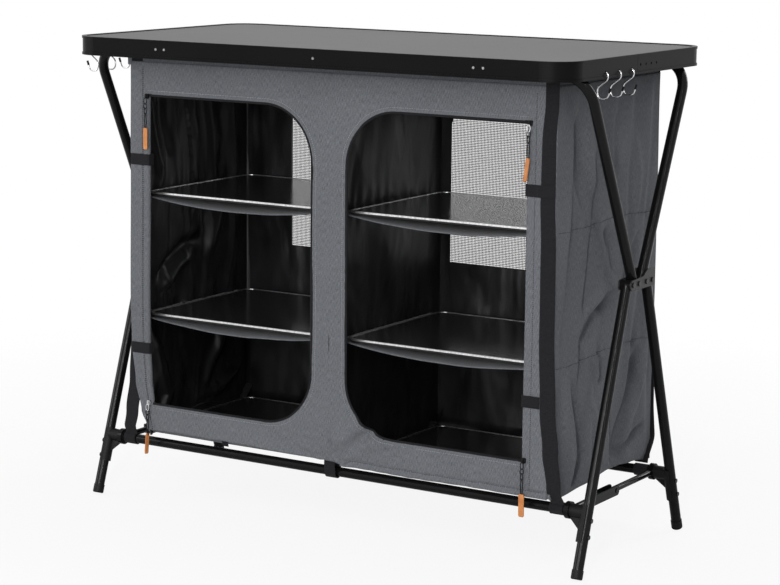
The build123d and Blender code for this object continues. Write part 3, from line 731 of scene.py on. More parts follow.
# Where a ray from the centre meets a closed outline.
def rayHit(outline, centre, angle):
    direction = Vector((math.cos(angle), math.sin(angle)))
    best = None
    for first, second in zip(outline, outline[1:] + outline[:1]):
        edge = second - first
        cross = direction.x * edge.y - direction.y * edge.x
        if abs(cross) < 1e-12:
            continue
        gap = first - centre
        reach = (gap.x * edge.y - gap.y * edge.x) / cross
        share = (gap.x * direction.y - gap.y * direction.x) / cross
        if reach > 0 and -1e-9 <= share <= 1 + 1e-9 and (best is None or reach > best):
            best = reach
    return centre + direction * best


# A flat sheet between a hole's outline and an outer outline, in rings from the hole outwards.
def ringSheet(hole, outer, turns, rings):
    centre = sum(outer, Vector((0, 0))) / len(outer)
    angles = [2 * math.pi * step / turns for step in range(turns)]
    for corner in outer + hole[:2]:
        exact = math.atan2(corner.y - centre.y, corner.x - centre.x) % (2 * math.pi)
        nearest = min(range(len(angles)), key=lambda i: abs(angles[i] - exact))
        angles[nearest] = exact
    ends = [(rayHit(hole, centre, angle), rayHit(outer, centre, angle)) for angle in angles]
    points = []
    for ring in range(rings + 1):
        share = (ring / rings) ** 1.3
        points += [inside.lerp(outside, share) for inside, outside in ends]
    return points, gridFaces(len(angles), rings + 1, closed=True)


# A panel with one hole a side, joined along its middle.
def makePanel(name, holes, panel, place):
    cell = boxOutline(0.0, body["halfWidth"], body["low"], body["sheetTop"])
    vertices = []
    allFaces = []
    for side, hole in holes.items():
        points, faces = ringSheet(hole, cell, panel["turns"], panel["rings"])
        start = len(vertices)
        vertices += [place(side * p.x, p.y) for p in points]
        allFaces += [tuple(i + start for i in face) for face in faces]
    item = makeObject(name, vertices, allFaces, [clothMat, liningMat])
    mergeDoubles(item, 0.0002)
    return item


front = makePanel("frontCloth", {1: doorOutline(1), -1: doorOutline(-1)}, frontPanel, frontPlace)
faceTowards(front, 0, -1, 0)
closeSheet(front, "front_panel", "grey_cloth")
hang(front)


# Seams of the front cloth
def onFront(x, z):
    px, py, pz = frontPlace(x, z, False)
    return (px, py - seam["lift"], pz)


def doorSeam(side, offset):
    dense = densify(doorOutline(side, -offset, -offset, 40)[1:], 0.006)
    dense.append(Vector((door["outer"][side], dense[-1].y)))
    return [onFront(side * p.x, p.y) for p in dense]


for sideName, side in sides.items():
    makeStitches("doorSeam" + sideName, doorSeam(side, seam["offset"]), (0, -1, 0), threadMat)
    for number, inset in enumerate(seam["margins"][side]):
        x = side * (door["outer"][side] + inset)
        low, high = body["low"] + seam["end"], body["high"] - seam["end"]
        line = [onFront(x, low + (high - low) * k / 150) for k in range(151)]
        makeStitches("marginSeam%s%d" % (sideName, number + 1), line, (0, -1, 0), darkThreadMat)

# The folded hem along the right half of the lower edge
hemFold = {"from": 0.030, "to": 0.4360, "height": 0.0125, "proud": 0.0021, "thickness": 0.0010}


def placeHemFold(u, v):
    x = hemFold["from"] + (hemFold["to"] - hemFold["from"]) * u
    low = along(frontLowEdge, x)
    height = hemFold["height"] * smoothStep(u * 12 + 0.25) * (1.0 + 0.10 * noiseAt(x * 20, 4.4, 1.0))
    z = low - 0.0012 + height * v
    swell = math.sin(math.pi * clamp(v * 1.1)) ** 0.6
    proud = halfCloth + hemFold["proud"] * (0.35 + 0.65 * swell)
    return (x, body["front"] + frontFold(x, max(z, low)) - proud, z)


hemPiece = gridSheet("frontHemFold", 150, 9, placeHemFold, [clothMat, clothMat])
faceTowards(hemPiece, 0, -1, 0)
thicken(hemPiece, hemFold["thickness"], 0)
hang(hemPiece)
line = []
hemLength = hemFold["to"] - hemFold["from"]
for k in range(120):
    px, py, pz = placeHemFold((0.006 + (hemLength - 0.01) * k / 119) / hemLength, 0.86)
    line.append((px, py - seam["hemLift"], pz))
makeStitches("hemSeam", line, (0, -1, 0), darkThreadMat)
print("stage: front cloth")


rearPanel = {"crease": 0.0022, "turns": 220, "rings": 18}
window = {"inner": 0.022, "outer": 0.332, "low": 0.436, "high": 0.703, "pitch": 0.0030, "open": 0.452}


def rearFold(x, z):
    slow = noiseAt(x * 6.0, z * 5.0, 11.7)
    slant = ridge(x * 10.0 - z * 4.0, z * 4.0 + x * 2.0, 5.3) - 0.5
    besides = max(window["inner"] - abs(x), abs(x) - window["outer"])
    outside = max(besides, window["low"] - z, z - window["high"], 0.0)
    hold = min(1.0, outside / 0.03 + 0.1)
    return rearPanel["crease"] * hold * (1.3 * slow + 1.2 * slant)


def rearPlace(x, z):
    return (x, body["rear"] + rearFold(x, z), z)


windowHole = boxOutline(window["inner"], window["outer"], window["low"], window["high"])
rear = makePanel("rearCloth", {1: windowHole, -1: windowHole}, rearPanel, rearPlace)
faceTowards(rear, 0, 1, 0)
closeSheet(rear, "rear_panel", "grey_cloth")
hang(rear)
for sideName, side in sides.items():
    grow = seam["window"]
    x0, x1 = window["inner"] - grow, window["outer"] + grow
    z0, z1 = window["low"] - grow, window["high"] + grow
    corners = [Vector(c) for c in ((x0, z0), (x1, z0), (x1, z1), (x0, z1), (x0, z0))]
    line = []
    for first, second in zip(corners, corners[1:]):
        for k in range(40):
            spot = first.lerp(second, k / 40)
            x, y, z = rearPlace(side * spot.x, spot.y)
            line.append((x, y + seam["lift"], z))
    makeStitches("windowSeam" + sideName, line, (0, 1, 0), threadMat)


# Window net: a fine knit with a diamond gap in every cell
def makeNet(name, side):
    x0, x1, z0, z1 = window["inner"], window["outer"], window["low"], window["high"]
    columns = int((x1 - x0) / window["pitch"])
    rows = int((z1 - z0) / window["pitch"])
    stepX = (x1 - x0) / columns
    stepZ = (z1 - z0) / rows
    vertices = []
    faces = []
    for row in range(rows):
        for column in range(columns):
            cx = x0 + stepX * (column + 0.5)
            cz = z0 + stepZ * (row + 0.5)
            start = len(vertices)
            for dx, dz in ((-0.5, -0.5), (0.5, -0.5), (0.5, 0.5), (-0.5, 0.5)):
                vertices.append((side * (cx + dx * stepX), body["rear"], cz + dz * stepZ))
            for dx, dz in ((0, -1), (1, 0), (0, 1), (-1, 0)):
                reach = window["open"]
                vertices.append((side * (cx + dx * stepX * reach), body["rear"], cz + dz * stepZ * reach))
            for k in range(4):
                corner = start + (k + 1) % 4
                faces.append((start + k, corner, start + 4 + k))
                faces.append((corner, start + 4 + (k + 1) % 4, start + 4 + k))
    item = makeObject(name, vertices, faces, [webbingMat], smooth=False)
    mergeDoubles(item)
    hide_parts("mesh_windows")
    hang(item)


makeNet("windowNetRight", 1)
makeNet("windowNetLeft", -1)
print("stage: rear cloth")


# Side walls and the middle wall
wall = {"rows": 230, "columns": 150, "most": 0.0110, "pucker": 0.0016, "crease": 1.9, "drape": 0.0080}
sideCreases = [
    (-0.0048, 0.0110, (-0.112, 0.765), (-0.101, 0.700), (-0.088, 0.640), (-0.068, 0.576)),
    (0.0032, 0.0120, (-0.070, 0.750), (-0.066, 0.690), (-0.048, 0.620)),
    (-0.0026, 0.0120, (0.030, 0.760), (0.020, 0.700), (0.038, 0.640)),
    (0.0034, 0.0140, (0.105, 0.720), (0.122, 0.640), (0.110, 0.576)),
    (0.0052, 0.0100, (-0.095, 0.392), (-0.050, 0.430), (-0.004, 0.453), (0.050, 0.458)),
    (-0.0052, 0.0095, (-0.082, 0.372), (-0.030, 0.412), (0.010, 0.430)),
    (-0.0042, 0.0105, (-0.004, 0.562), (0.028, 0.520), (0.040, 0.470)),
    (0.0034, 0.0110, (0.020, 0.566), (0.050, 0.530), (0.064, 0.480)),
    (-0.0040, 0.0120, (0.150, 0.548), (0.100, 0.500), (0.064, 0.420)),
    (0.0042, 0.0070, (-0.030, 0.346), (-0.020, 0.325), (-0.010, 0.292)),
    (-0.0040, 0.0080, (-0.018, 0.344), (-0.004, 0.322), (0.004, 0.290)),
    (-0.0066, 0.0105, (-0.112, 0.322), (-0.092, 0.250), (-0.062, 0.175), (-0.084, 0.142), (-0.104, 0.122)),
    (0.0044, 0.0130, (-0.142, 0.335), (-0.128, 0.250), (-0.108, 0.160)),
    (-0.0062, 0.0110, (0.142, 0.338), (0.098, 0.242), (0.046, 0.150)),
    (0.0046, 0.0130, (0.166, 0.322), (0.124, 0.238), (0.080, 0.172)),
    (-0.0070, 0.0095, (0.050, 0.154), (0.100, 0.160), (0.172, 0.192)),
    (0.0034, 0.0120, (-0.030, 0.270), (-0.006, 0.215), (0.006, 0.160)),
]
sideLowEdge = [
    (-0.176, 0.1235), (-0.136, 0.1210), (-0.060, 0.1250), (0.053, 0.1345), (0.120, 0.1290), (0.1973, 0.1215),
]


def wallFold(share, z, phase):
    envelope, bay = bayFold(z)
    wave = math.sin(2.6 * math.pi * share + phase + 1.7 * bay) + 0.5 * math.sin(5.1 * math.pi * share - phase)
    return body["foldDepth"] * 0.66 * envelope * math.sin(math.pi * share) * wave


# Hanging folds that start at the top hem and lean a little, sharp on one side and slack on the other.
def drape(share, z, phase):
    lean = 0.10 * math.sin(z * 5.0 + phase) + 0.05 * noiseAt(share * 2.0, z * 3.0, phase + 7.0)
    turnRound = (share + lean) * 5.2 + phase
    saw = turnRound - math.floor(turnRound)
    fold = smoothStep(saw / 0.72) if saw < 0.72 else 1.0 - smoothStep((saw - 0.72) / 0.28)
    strength = 0.55 + 0.9 * noiseAt(math.floor(turnRound) * 1.7, z * 2.4, phase)
    return (fold - 0.5) * max(0.0, strength)


# Small creases on top of the main folds; they die out at the sewn edges.
def wallCrease(share, z, phase):
    envelope = bayFold(z)[0]
    hold = min(1.0, 9.0 * share, 9.0 * (1.0 - share))
    slant = ridge(share * 2.6 + z * 3.4 + phase, z * 2.2 - share, phase * 3.1) - 0.55
    fine = ridge(share * 7.0 - z * 6.0, z * 5.0 + phase, 4.0 + phase) - 0.55
    lump = noiseAt(share * 3.0, z * 6.0, phase)
    puckers = 0.0
    for shelf in body["shelves"]:
        wave = math.cos(share * 2 * math.pi / 0.085 + 4 * lump + shelf * 9)
        puckers += math.exp(-abs(z - shelf) / 0.022) * wave
    small = 0.0024 * slant + 0.0007 * fine + 0.0030 * lump
    return hold * ((0.35 + 0.65 * envelope) * small + wall["pucker"] * puckers)


def makeWall(name, node, plan):
    start, end = plan["start"], body["rear"] - halfCloth

    def place(u, v):
        y = start + (end - start) * u
        low = along(sideLowEdge, y) if plan["creases"] else body["low"] + 0.0005
        z = low + (plan["top"] - low) * v
        offset = wallFold(u, z, plan["phase"]) + wallCrease(u, z, plan["phase"])
        if plan["creases"]:
            hold = min(1.0, 12.0 * u, 12.0 * (1.0 - u))
            top = clamp((body["high"] - z) / 0.03)
            offset += wall["crease"] * hold * top * creaseHeight(sideCreases, y, z)
            offset += wall["drape"] * hold * top * drape(u, z, plan["phase"])
            offset *= smoothStep((z - low) / 0.016)
        offset = max(-wall["most"], min(wall["most"], offset))
        if plan["out"] < 0:
            offset -= frontDrift(-body["halfWidth"], z) * smoothStep((0.16 - u) / 0.16)
        return (plan["x"] + plan["out"] * offset, y, z)

    sheet = gridSheet(name, wall["columns"], wall["rows"], place, plan["materials"])
    faceTowards(sheet, plan["out"], 0, 0)
    closeSheet(sheet, node, plan["slot"])
    hang(sheet)
    return place


wallX = body["halfWidth"] - halfCloth
clothInside = body["front"] + halfCloth
strapBack = clothInside + 0.0014  # room for the strap inside the left corner
grey = {"creases": True, "top": body["sheetTop"], "materials": [clothMat, liningMat], "slot": "grey_cloth"}
black = {"creases": False, "top": body["high"], "materials": [liningMat, liningMat], "slot": "black_lining"}
walls = {
    "right": {"start": clothInside, "x": wallX, "out": 1, "phase": 0.4, **grey},
    "left": {"start": strapBack, "x": -wallX, "out": -1, "phase": 1.9, **grey},
    "middle": {"start": clothInside + 0.0005, "x": 0.0, "out": 1, "phase": 1.1, **black},
}
placeRight = makeWall("sideClothRight", "side_panel_right", walls["right"])
placeLeft = makeWall("sideClothLeft", "side_panel_left", walls["left"])
makeWall("middleWall", "centre_divider", walls["middle"])

# Rows of stitches where the slings are sewn to the side walls
for sideName, place, out in (("Right", placeRight, 1), ("Left", placeLeft, -1)):
    for number, shelf in enumerate(body["shelves"]):
        line = []
        for k in range(100):
            u = 0.03 + 0.94 * k / 99
            height = shelf + 0.003 * noiseAt(u * 5, number * 3.0, out)
            x, y, z = place(u, (height - seam["wallLow"]) / (body["sheetTop"] - seam["wallLow"]))
            line.append((x + out * seam["wallLift"], y, z))
        makeStitches("shelfSeam%s%d" % (sideName, number + 1), line, (out, 0, 0), darkThreadMat)
print("stage: walls")


# Base sheet
baseEdge = {"side": 0.014, "front": 0.022, "highest": 0.1352, "thickness": 0.0010}


def placeBase(u, v):
    halfX = body["halfWidth"] - body["cloth"] - 0.0006
    low, high = strapBack + 0.0004, body["rear"] - body["cloth"]
    x = -halfX + 2 * halfX * u
    y = low + (high - low) * v
    z = body["base"] + 0.0001 - 0.0007 * noiseAt(x * 8, y * 8, 3.3)
    atSide = smoothStep((abs(x) - halfX + baseEdge["side"]) / baseEdge["side"])
    atFront = smoothStep((low + baseEdge["front"] - y) / baseEdge["front"])
    sideRise = max(0.0, along(sideLowEdge, y) + 0.0012 - z) * atSide
    frontRise = max(0.0, min(baseEdge["highest"], along(frontLowEdge, x) + 0.0010) - z) * atFront
    left = clamp(-x / halfX) ** 3
    drawn = frontDrift(-body["halfWidth"], body["base"]) * smoothStep((0.16 - v) / 0.16) * left
    return (x + drawn, y, z + max(sideRise, frontRise))


base = gridSheet("baseSheet", 120, 50, placeBase, [liningMat, clothFlatMat])
faceTowards(base, 0, 0, 1)
closeSheet(base, "base_sheet", "black_lining", baseEdge["thickness"])
hang(base)


# Top hem: a doubled band of the same grey cloth round the mouth of the body
hem = {"thickness": 0.0014, "rows": 6, "spacing": 0.012, "cornerRadius": 0.004, "inset": 0.0026}


def roundPath(low, high, radius, steps):
    points = []
    for quarter, (cx, cy) in enumerate(((high.x - radius, high.y - radius), (low.x + radius, high.y - radius),
                                        (low.x + radius, low.y + radius), (high.x - radius, low.y + radius))):
        for step in range(steps + 1):
            angle = math.pi / 2 * (quarter + step / steps)
            points.append(Vector((cx + radius * math.cos(angle), cy + radius * math.sin(angle))))
    return densify(points + points[:1], hem["spacing"])[:-1]


hemLow = Vector((hem["inset"] - body["halfWidth"], body["front"] + hem["inset"]))
hemHigh = Vector((body["halfWidth"] - hem["inset"], body["rear"] - hem["inset"]))
hemPath = roundPath(hemLow, hemHigh, hem["cornerRadius"], 3)
vertices = []
for row in range(hem["rows"] + 1):
    z = body["high"] + 0.0004 + (body["hemTop"] - body["high"] - 0.0008) * row / hem["rows"]
    for x, y in hemPath:
        wave = 0.0007 * noiseAt(x * 14, y * 14, z * 20)
        vertices.append((x, y + (wave if y > 0 else -wave), z))
faces = gridFaces(len(hemPath), hem["rows"] + 1, closed=True)
hemBand = makeObject("topHemBand", vertices, faces, [clothMat, clothMat])
closeSheet(hemBand, "top_hem", "grey_cloth", hem["thickness"])
hang(hemBand)
print("stage: base and hem")


# Shelf slings
sling = {"sag": 0.018, "inner": 0.00105, "outer": 0.4392, "front": -0.14975, "rear": 0.17105, "seat": 0.0003,
         "boardInset": 0.018, "underBoard": (0.341, 0.565)}


def slingHeight(x, under):
    half = (sling["outer"] - sling["inner"]) / 2
    centre = (sling["outer"] + sling["inner"]) / 2
    radius = (half * half + sling["sag"] ** 2) / (2 * sling["sag"])
    reach = centre - sling["boardInset"]
    rise = math.sqrt(radius ** 2 - reach ** 2) - math.sqrt(radius ** 2 - half ** 2)
    ends = under - sling["seat"] + rise
    offset = x - centre
    return ends - (math.sqrt(radius ** 2 - offset ** 2) - math.sqrt(radius ** 2 - half ** 2))


for sideName, side in sides.items():
    for number, under in enumerate(sling["underBoard"]):
        def placeSling(u, v, side=side, under=under, number=number):
            x = sling["inner"] + (sling["outer"] - sling["inner"]) * u
            y = sling["front"] + (sling["rear"] - sling["front"]) * v
            free = math.sin(math.pi * u)
            ripple = 0.0012 * free * noiseAt(x * 16, y * 5 + number * 4, side * 2.0)
            return (side * x, y, slingHeight(x, under) - halfCloth + min(0.0, ripple - 0.0006))

        name = "shelfSling%s%d" % (sideName, number + 1)
        item = gridSheet(name, 60, 30, placeSling, [clothFlatMat, clothFlatMat])
        faceTowards(item, 0, 0, 1)
        closeSheet(item, "shelf_slings", "grey_cloth")
        hang(item)
print("stage: slings")


# Doors, rolled up behind the panel beside their openings: one sheet wound into a flat spiral
roll = {
    "width": 0.023, "thickness": 0.0085, "middleY": -0.1700, "turns": 5.6, "tie": 0.84, "swell": 0.05,
    "inner": {1: 0.3885, -1: 0.3960}, "low": 0.190, "high": 0.743, "cloth": 0.0006,
}
tab = {
    "width": 0.020, "thickness": 0.0012, "gap": 0.0005,
    "heights": {1: (0.6375, 0.2860), -1: (0.6325, 0.2860)},
    "outer": {1: (0.4405, 0.4185), -1: (0.4290, 0.4300)},
}


def rollSize(z):
    nearest = min(abs(z - tie) for tie in tab["heights"][1])
    toEnd = min(z - roll["low"], roll["high"] - z)
    size = roll["tie"] + (1 - roll["tie"]) * min(1.0, nearest / roll["swell"]) ** 0.8
    return min(size, roll["tie"] + (1 - roll["tie"]) * min(1.0, toEnd / 0.05) + 0.04)


for sideName, side in sides.items():
    def placeRoll(u, v, side=side):
        z = roll["low"] + (roll["high"] - roll["low"]) * v
        size = rollSize(z)
        angle = 2 * math.pi * roll["turns"] * u + 2.6
        share = 1.0 - 0.80 * u
        lump = 1.0 + 0.05 * noiseAt(math.cos(angle) * 1.3, math.sin(angle) * 1.3, z * 14 + side)
        x = roll["inner"][side] + roll["width"] / 2
        x += (roll["width"] / 2 - 0.0009) * size * share * lump * math.cos(angle)
        y = roll["middleY"] + (roll["thickness"] / 2 - 0.0004) * size * share * lump * math.sin(angle)
        drift = -along(leftDrift["door"], z) if side < 0 else 0.0
        return (side * (x + drift), y, z + 0.002 * u)

    item = gridSheet("rolledDoor" + sideName, 170, 90, placeRoll, [clothMat, liningMat])
    closeSheet(item, "door_rolls", "grey_cloth", roll["cloth"])
    hang(item)
print("stage: rolled doors")


# Zip tapes and their teeth, along the top, the inner side and the bottom of each opening
tape = {"rows": 4, "thickness": 0.0012, "teethPitch": 0.0026, "tooth": (0.0016, 0.0014, 0.0010)}


def tapeRun(side, inset, spacing):
    end = Vector((door["outer"][side] - door["endGap"], door["low"] + inset))
    return densify(doorOutline(side, inset, inset, 40)[1:] + [end], spacing, math.ceil)


for sideName, side in sides.items():
    runs = []
    for row in range(tape["rows"] + 1):
        inset = door["tape"] * row / tape["rows"] - 0.0006
        outline = doorOutline(side, inset, inset, 60)[1:]
        last = Vector((door["outer"][side] - door["endGap"], outline[-1].y))
        runs.append([outline[0].lerp(outline[1], k / 30) for k in range(30)] + outline[1:]
                    + [outline[-1].lerp(last, (k + 1) / 30) for k in range(30)])
    vertices = [frontPlace(side * p.x, p.y, False) for run in runs for p in run]
    faces = gridFaces(len(runs[0]), len(runs))
    item = makeObject("zipTape" + sideName, vertices, faces, [webbingMat, webbingMat])
    faceTowards(item, 0, -1, 0)
    closeSheet(item, "zip_tapes", "black_webbing", tape["thickness"])
    hang(item)

    teeth = []
    teethFaces = []
    run = tapeRun(side, door["tape"] - 0.0012, tape["teethPitch"])
    for k, p in enumerate(run[:-1]):
        direction = (run[k + 1] - p).normalized()
        across = Vector((-direction.y, direction.x))
        start = len(teeth)
        for dy in (-1, 1):
            for a, b in ((-1, -1), (1, -1), (1, 1), (-1, 1)):
                q = p + direction * a * tape["tooth"][2] / 2 + across * b * tape["tooth"][0] / 2
                x, y, z = frontPlace(side * q.x, q.y, False)
                teeth.append((x, y + dy * tape["tooth"][1] / 2, z))
        for face in ((0, 1, 2, 3), (7, 6, 5, 4), (0, 4, 5, 1), (1, 5, 6, 2), (2, 6, 7, 3), (3, 7, 4, 0)):
            teethFaces.append(tuple(start + i for i in face))
    chain = makeObject("zipTeeth" + sideName, teeth, teethFaces, [plasticMat], smooth=False)
    hang(chain)
print("stage: zip tapes")


# Webbing: corner straps, door tabs and rail loops

# A band that follows a line of places; widths may change along it, across is the width direction.
def makeBand(name, line, across, widths, thickness, material=webbingMat, columns=7):
    vertices = []
    for place, width in zip(line, widths if isinstance(widths, list) else [widths] * len(line)):
        for column in range(columns):
            share = column / (columns - 1) - 0.5
            vertices.append(Vector(place) + Vector(across) * width * share)
    band = makeObject(name, vertices, gridFaces(columns, len(line)), [material])
    thicken(band, thickness, backSlot=0)
    edge = band.modifiers.new("edge", "BEVEL")
    edge.width = thickness * 0.3
    edge.segments = 2
    edge.limit_method = "ANGLE"
    applyModifiers(band)
    band.data.shade_smooth()
    return band


# Points of a corner line rounded into a smooth run.
def softLine(corners, steps=5):
    points = [Vector(c) for c in corners]
    run = [points[0]]
    for before, corner, after in zip(points, points[1:], points[2:]):
        first, last = (before + corner) / 2, (corner + after) / 2
        for k in range(steps + 1):
            t = k / steps
            run.append(first * (1 - t) ** 2 + corner * 2 * t * (1 - t) + last * t * t)
    return run + [points[-1]]


# Middle of each strap and its width, by height
strap = {
    "thickness": 0.0012, "low": 0.1175, "high": 0.8325, "wave": 0.0008, "rows": 110,
    "frontGap": 0.0004, "rearGap": 0.0024,
    "middle": [
        (0.115, 0.4510), (0.145, 0.4480), (0.206, 0.4405), (0.272, 0.4340), (0.400, 0.4295), (0.540, 0.4290),
        (0.620, 0.4265), (0.720, 0.4265), (0.785, 0.4310),
    ],
    "rear": [(0.115, 0.4380), (0.227, 0.4300), (0.400, 0.4262), (0.811, 0.4262)],
    "inside": [
        (0.115, 0.4430), (0.165, 0.4335), (0.227, 0.4240), (0.330, 0.4180), (0.460, 0.4175), (0.811, 0.4155),
    ],
    "width": [(0.115, 0.0255), (0.206, 0.0295), (0.460, 0.0280), (0.625, 0.0268), (0.785, 0.0245)],
    "toRail": {"Front": (0.138, 0.020, 0.0105), "Rear": (0.165, 0.048, 0.0300)},
}
strapPlanes = {("Front", 1): body["front"] - halfCloth, ("Front", -1): body["front"] + halfCloth + 0.0013,
               ("Rear", 1): body["rear"] + halfCloth, ("Rear", -1): body["rear"] + halfCloth}
for sideName, side in sides.items():
    for endName, out in (("Front", -1), ("Rear", 1)):
        plane = strapPlanes[(endName, side)]
        railFrom, railFade, railReach = strap["toRail"][endName]
        line = []
        widths = []
        for k in range(strap["rows"] + 1):
            z = strap["low"] + (strap["high"] - strap["low"]) * k / strap["rows"]
            wobble = abs(strap["wave"] * noiseAt(side * 3.0, out * 2.0, z * 7))
            if endName == "Rear":
                middle = along(strap["rear"], z)
                y = plane + strap["thickness"] / 2 + strap["rearGap"] + wobble
            elif side > 0:
                middle = along(strap["middle"], z)
                y = plane + min(0.0, frontFold(middle, z)) - wobble
                y -= strap["thickness"] / 2 + strap["frontGap"]
            else:
                middle = along(strap["inside"], z)
                y = plane
            y -= out * smoothStep((railFrom - z) / railFade) * railReach
            line.append((side * middle, y, z))
            widths.append(along(strap["width"], z))
        band = makeBand("cornerStrap" + endName + sideName, line, (1, 0, 0), widths, strap["thickness"])
        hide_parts("webbing_straps")
        hang(band)


def tabCorners(side, number, z):
    outer = tab["outer"][side][number]
    edge = door["outer"][side] - (along(leftDrift["door"], z) if side < 0 else 0.0)
    wrap = edge - tab["thickness"] / 2 - 0.0007
    face = frontPlace(side * (door["outer"][side] + 0.012), z, False)[1]
    face -= halfCloth + tab["gap"] + tab["thickness"] / 2
    back = roll["middleY"] + roll["thickness"] / 2 + 0.0008 + tab["thickness"] / 2
    corners = [(wrap + 0.026, back), (wrap + 0.006, back), (wrap, back - 0.0008),
               (wrap - 0.0002, back - 0.004), (wrap - 0.0002, face + 0.0028),
               (wrap + 0.0004, face + 0.0002), (wrap + 0.003, face)]
    if side > 0 and number == 0:
        over = min(face, body["front"] - halfCloth - strap["thickness"] - 0.0019)
        corners += [(0.4040, face), (0.4085, over), (0.4120, over), (outer - 0.002, over - 0.0002),
                    (outer, over + 0.0006)]
    else:
        corners += [(outer - 0.006, face), (outer, face + 0.0003)]
    return softLine([(side * x, y, z) for x, y in corners])


for sideName, side in sides.items():
    for number, z in enumerate(tab["heights"][side]):
        line = tabCorners(side, number, z)
        name = "doorTab%s%d" % (sideName, number + 1)
        band = makeBand(name, line, (0, 0, 1), tab["width"], tab["thickness"])
        hang(band)

railLoop = {
    "radius": 0.0095, "steps": 44, "height": 0.108, "spread": 0.157924, "places": (0.447, -0.447),
    "width": 0.026, "middleWidth": 0.022, "thickness": 0.0012, "top": {"front": -0.1722, "rear": 0.1720},
}


def makeRailLoop(endName, number, line, width):
    name = "railLoop%s%d" % (endName.title(), number)
    loop = makeBand(name, line, (1, 0, 0), width, railLoop["thickness"])
    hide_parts("rail_loops_" + endName)
    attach(loop, endName + "_legs")


for endName, out in (("front", -1), ("rear", 1)):
    railY = out * railLoop["spread"]
    for number, xPlace in enumerate(railLoop["places"]):
        line = []
        for k in range(railLoop["steps"] + 1):
            angle = 2 * math.pi * k / railLoop["steps"] + math.pi / 2
            radius = railLoop["radius"] + 0.0006 * (1 - math.cos(2 * (angle - 0.4)))
            z = railLoop["height"] + radius * math.sin(angle)
            line.append((xPlace, railY + radius * math.cos(angle), z))
        makeRailLoop(endName, number + 1, line, railLoop["width"])
    # The middle loop hangs from the base: down outside the rail, under it and up again inside
    r = railLoop["radius"]
    topY = railLoop["top"][endName]
    hanging = [
        (0.003, topY, 0.0275), (0.003, topY + out * 0.0042, 0.0200),
        (0.002, railY + out * (r + 0.0052), 0.004), (0.001, railY + out * (r + 0.0022), -0.0075),
        (0.0, railY, -r - 0.0026),
        (0.0, railY - out * (r + 0.0006), -0.004), (0.0, railY - out * (r - 0.0018), 0.0085),
        (0.002, railY + out * 0.0025, 0.0155), (0.003, topY - out * 0.0022, 0.0265),
    ]
    line = softLine([(x, y, railLoop["height"] + z) for x, y, z in hanging], 7)
    makeRailLoop(endName, 3, line, railLoop["middleWidth"])

# A short tie from the base to the front rail
baseTie = {
    "x": -0.229, "run": ((-0.1640, 0.1225), (-0.1655, 0.128), (-0.1700, 0.134), (-0.1745, 0.1410)),
    "width": 0.012, "thickness": 0.0012,
}
line = softLine([(baseTie["x"], y, z) for y, z in baseTie["run"]])
band = makeBand("baseTie", line, (1, 0, 0), baseTie["width"], baseTie["thickness"])
hang(band)
print("stage: webbing")


# Zip pulls: links, cord loop and leather tag hanging from each slider
pull = {
    "x": 0.391, "y": -0.1846, "tagLength": 0.039, "tagThickness": 0.0024, "cord": 0.00085,
    "top": {"upper": 0.7475, "lower": 0.1855},
    # slider, first ring, turn and lean of the tag, its width
    "looks": {
        ("upper", "right"): (plasticMat, steelMat, 14.0, -0.005, 0.0070),
        ("upper", "left"): (plasticMat, plasticMat, 8.0, 0.0, 0.0084),
        ("lower", "right"): (plasticMat, plasticMat, 0.0, 0.0005, 0.0104),
        ("lower", "left"): (zincMat, zincMat, 72.0, -0.003, 0.0078),
    },
    # drop below the slider, half height and half width of each ring
    "rings": ((0.0082, 0.0058, 0.0028), (0.0178, 0.0046, 0.0024), (0.0272, 0.0062, 0.0020)),
    "ringWire": 0.0008, "tagDrop": 0.0565, "cordTop": 0.0270,
    "cordHalf": [
        (0.0010, 0.0, -0.004), (0.0018, -0.0002, 0.004), (0.0020, 0.0, 0.014), (0.0013, 0.0, 0.0245),
    ],
}


# A round wire or cord through a line of places.
def makeTube(name, line, radius, material, closed=False):
    curve = bpy.data.curves.new(name, "CURVE")
    curve.dimensions = "3D"
    curve.bevel_depth = radius
    curve.bevel_resolution = 4
    spline = curve.splines.new("NURBS")
    spline.points.add(len(line) - 1)
    for point, place in zip(spline.points, line):
        point.co = (*place, 1.0)
    spline.order_u = 3
    spline.use_cyclic_u = closed
    spline.use_endpoint_u = not closed
    spline.resolution_u = 6
    item = linkObject(name, curve)
    mesh = evaluatedMesh(item)
    bpy.data.objects.remove(item)
    setMaterials(mesh, [material])
    return linkObject(name, mesh)


# A flat strip of leather with a little rounding at its ends.
def makeTag(name, x, y, zTop, turn, lean, width):
    length, thick = pull["tagLength"], pull["tagThickness"]
    rows = 19
    angle = math.radians(turn)
    line = []
    widths = []
    for k in range(rows):
        share = k / (rows - 1)
        beyond = max(0.0, abs(share - 0.5) * 2 - 0.94)
        rounded = math.sqrt(max(0.0, 1.0 - beyond ** 2 / 0.0036 * 0.55))
        line.append((x + lean * share, y, zTop - length * share))
        widths.append(width * rounded)
    across = (math.cos(angle), math.sin(angle), 0)
    return makeBand(name, line, across, widths, thick, leatherMat, columns=5)


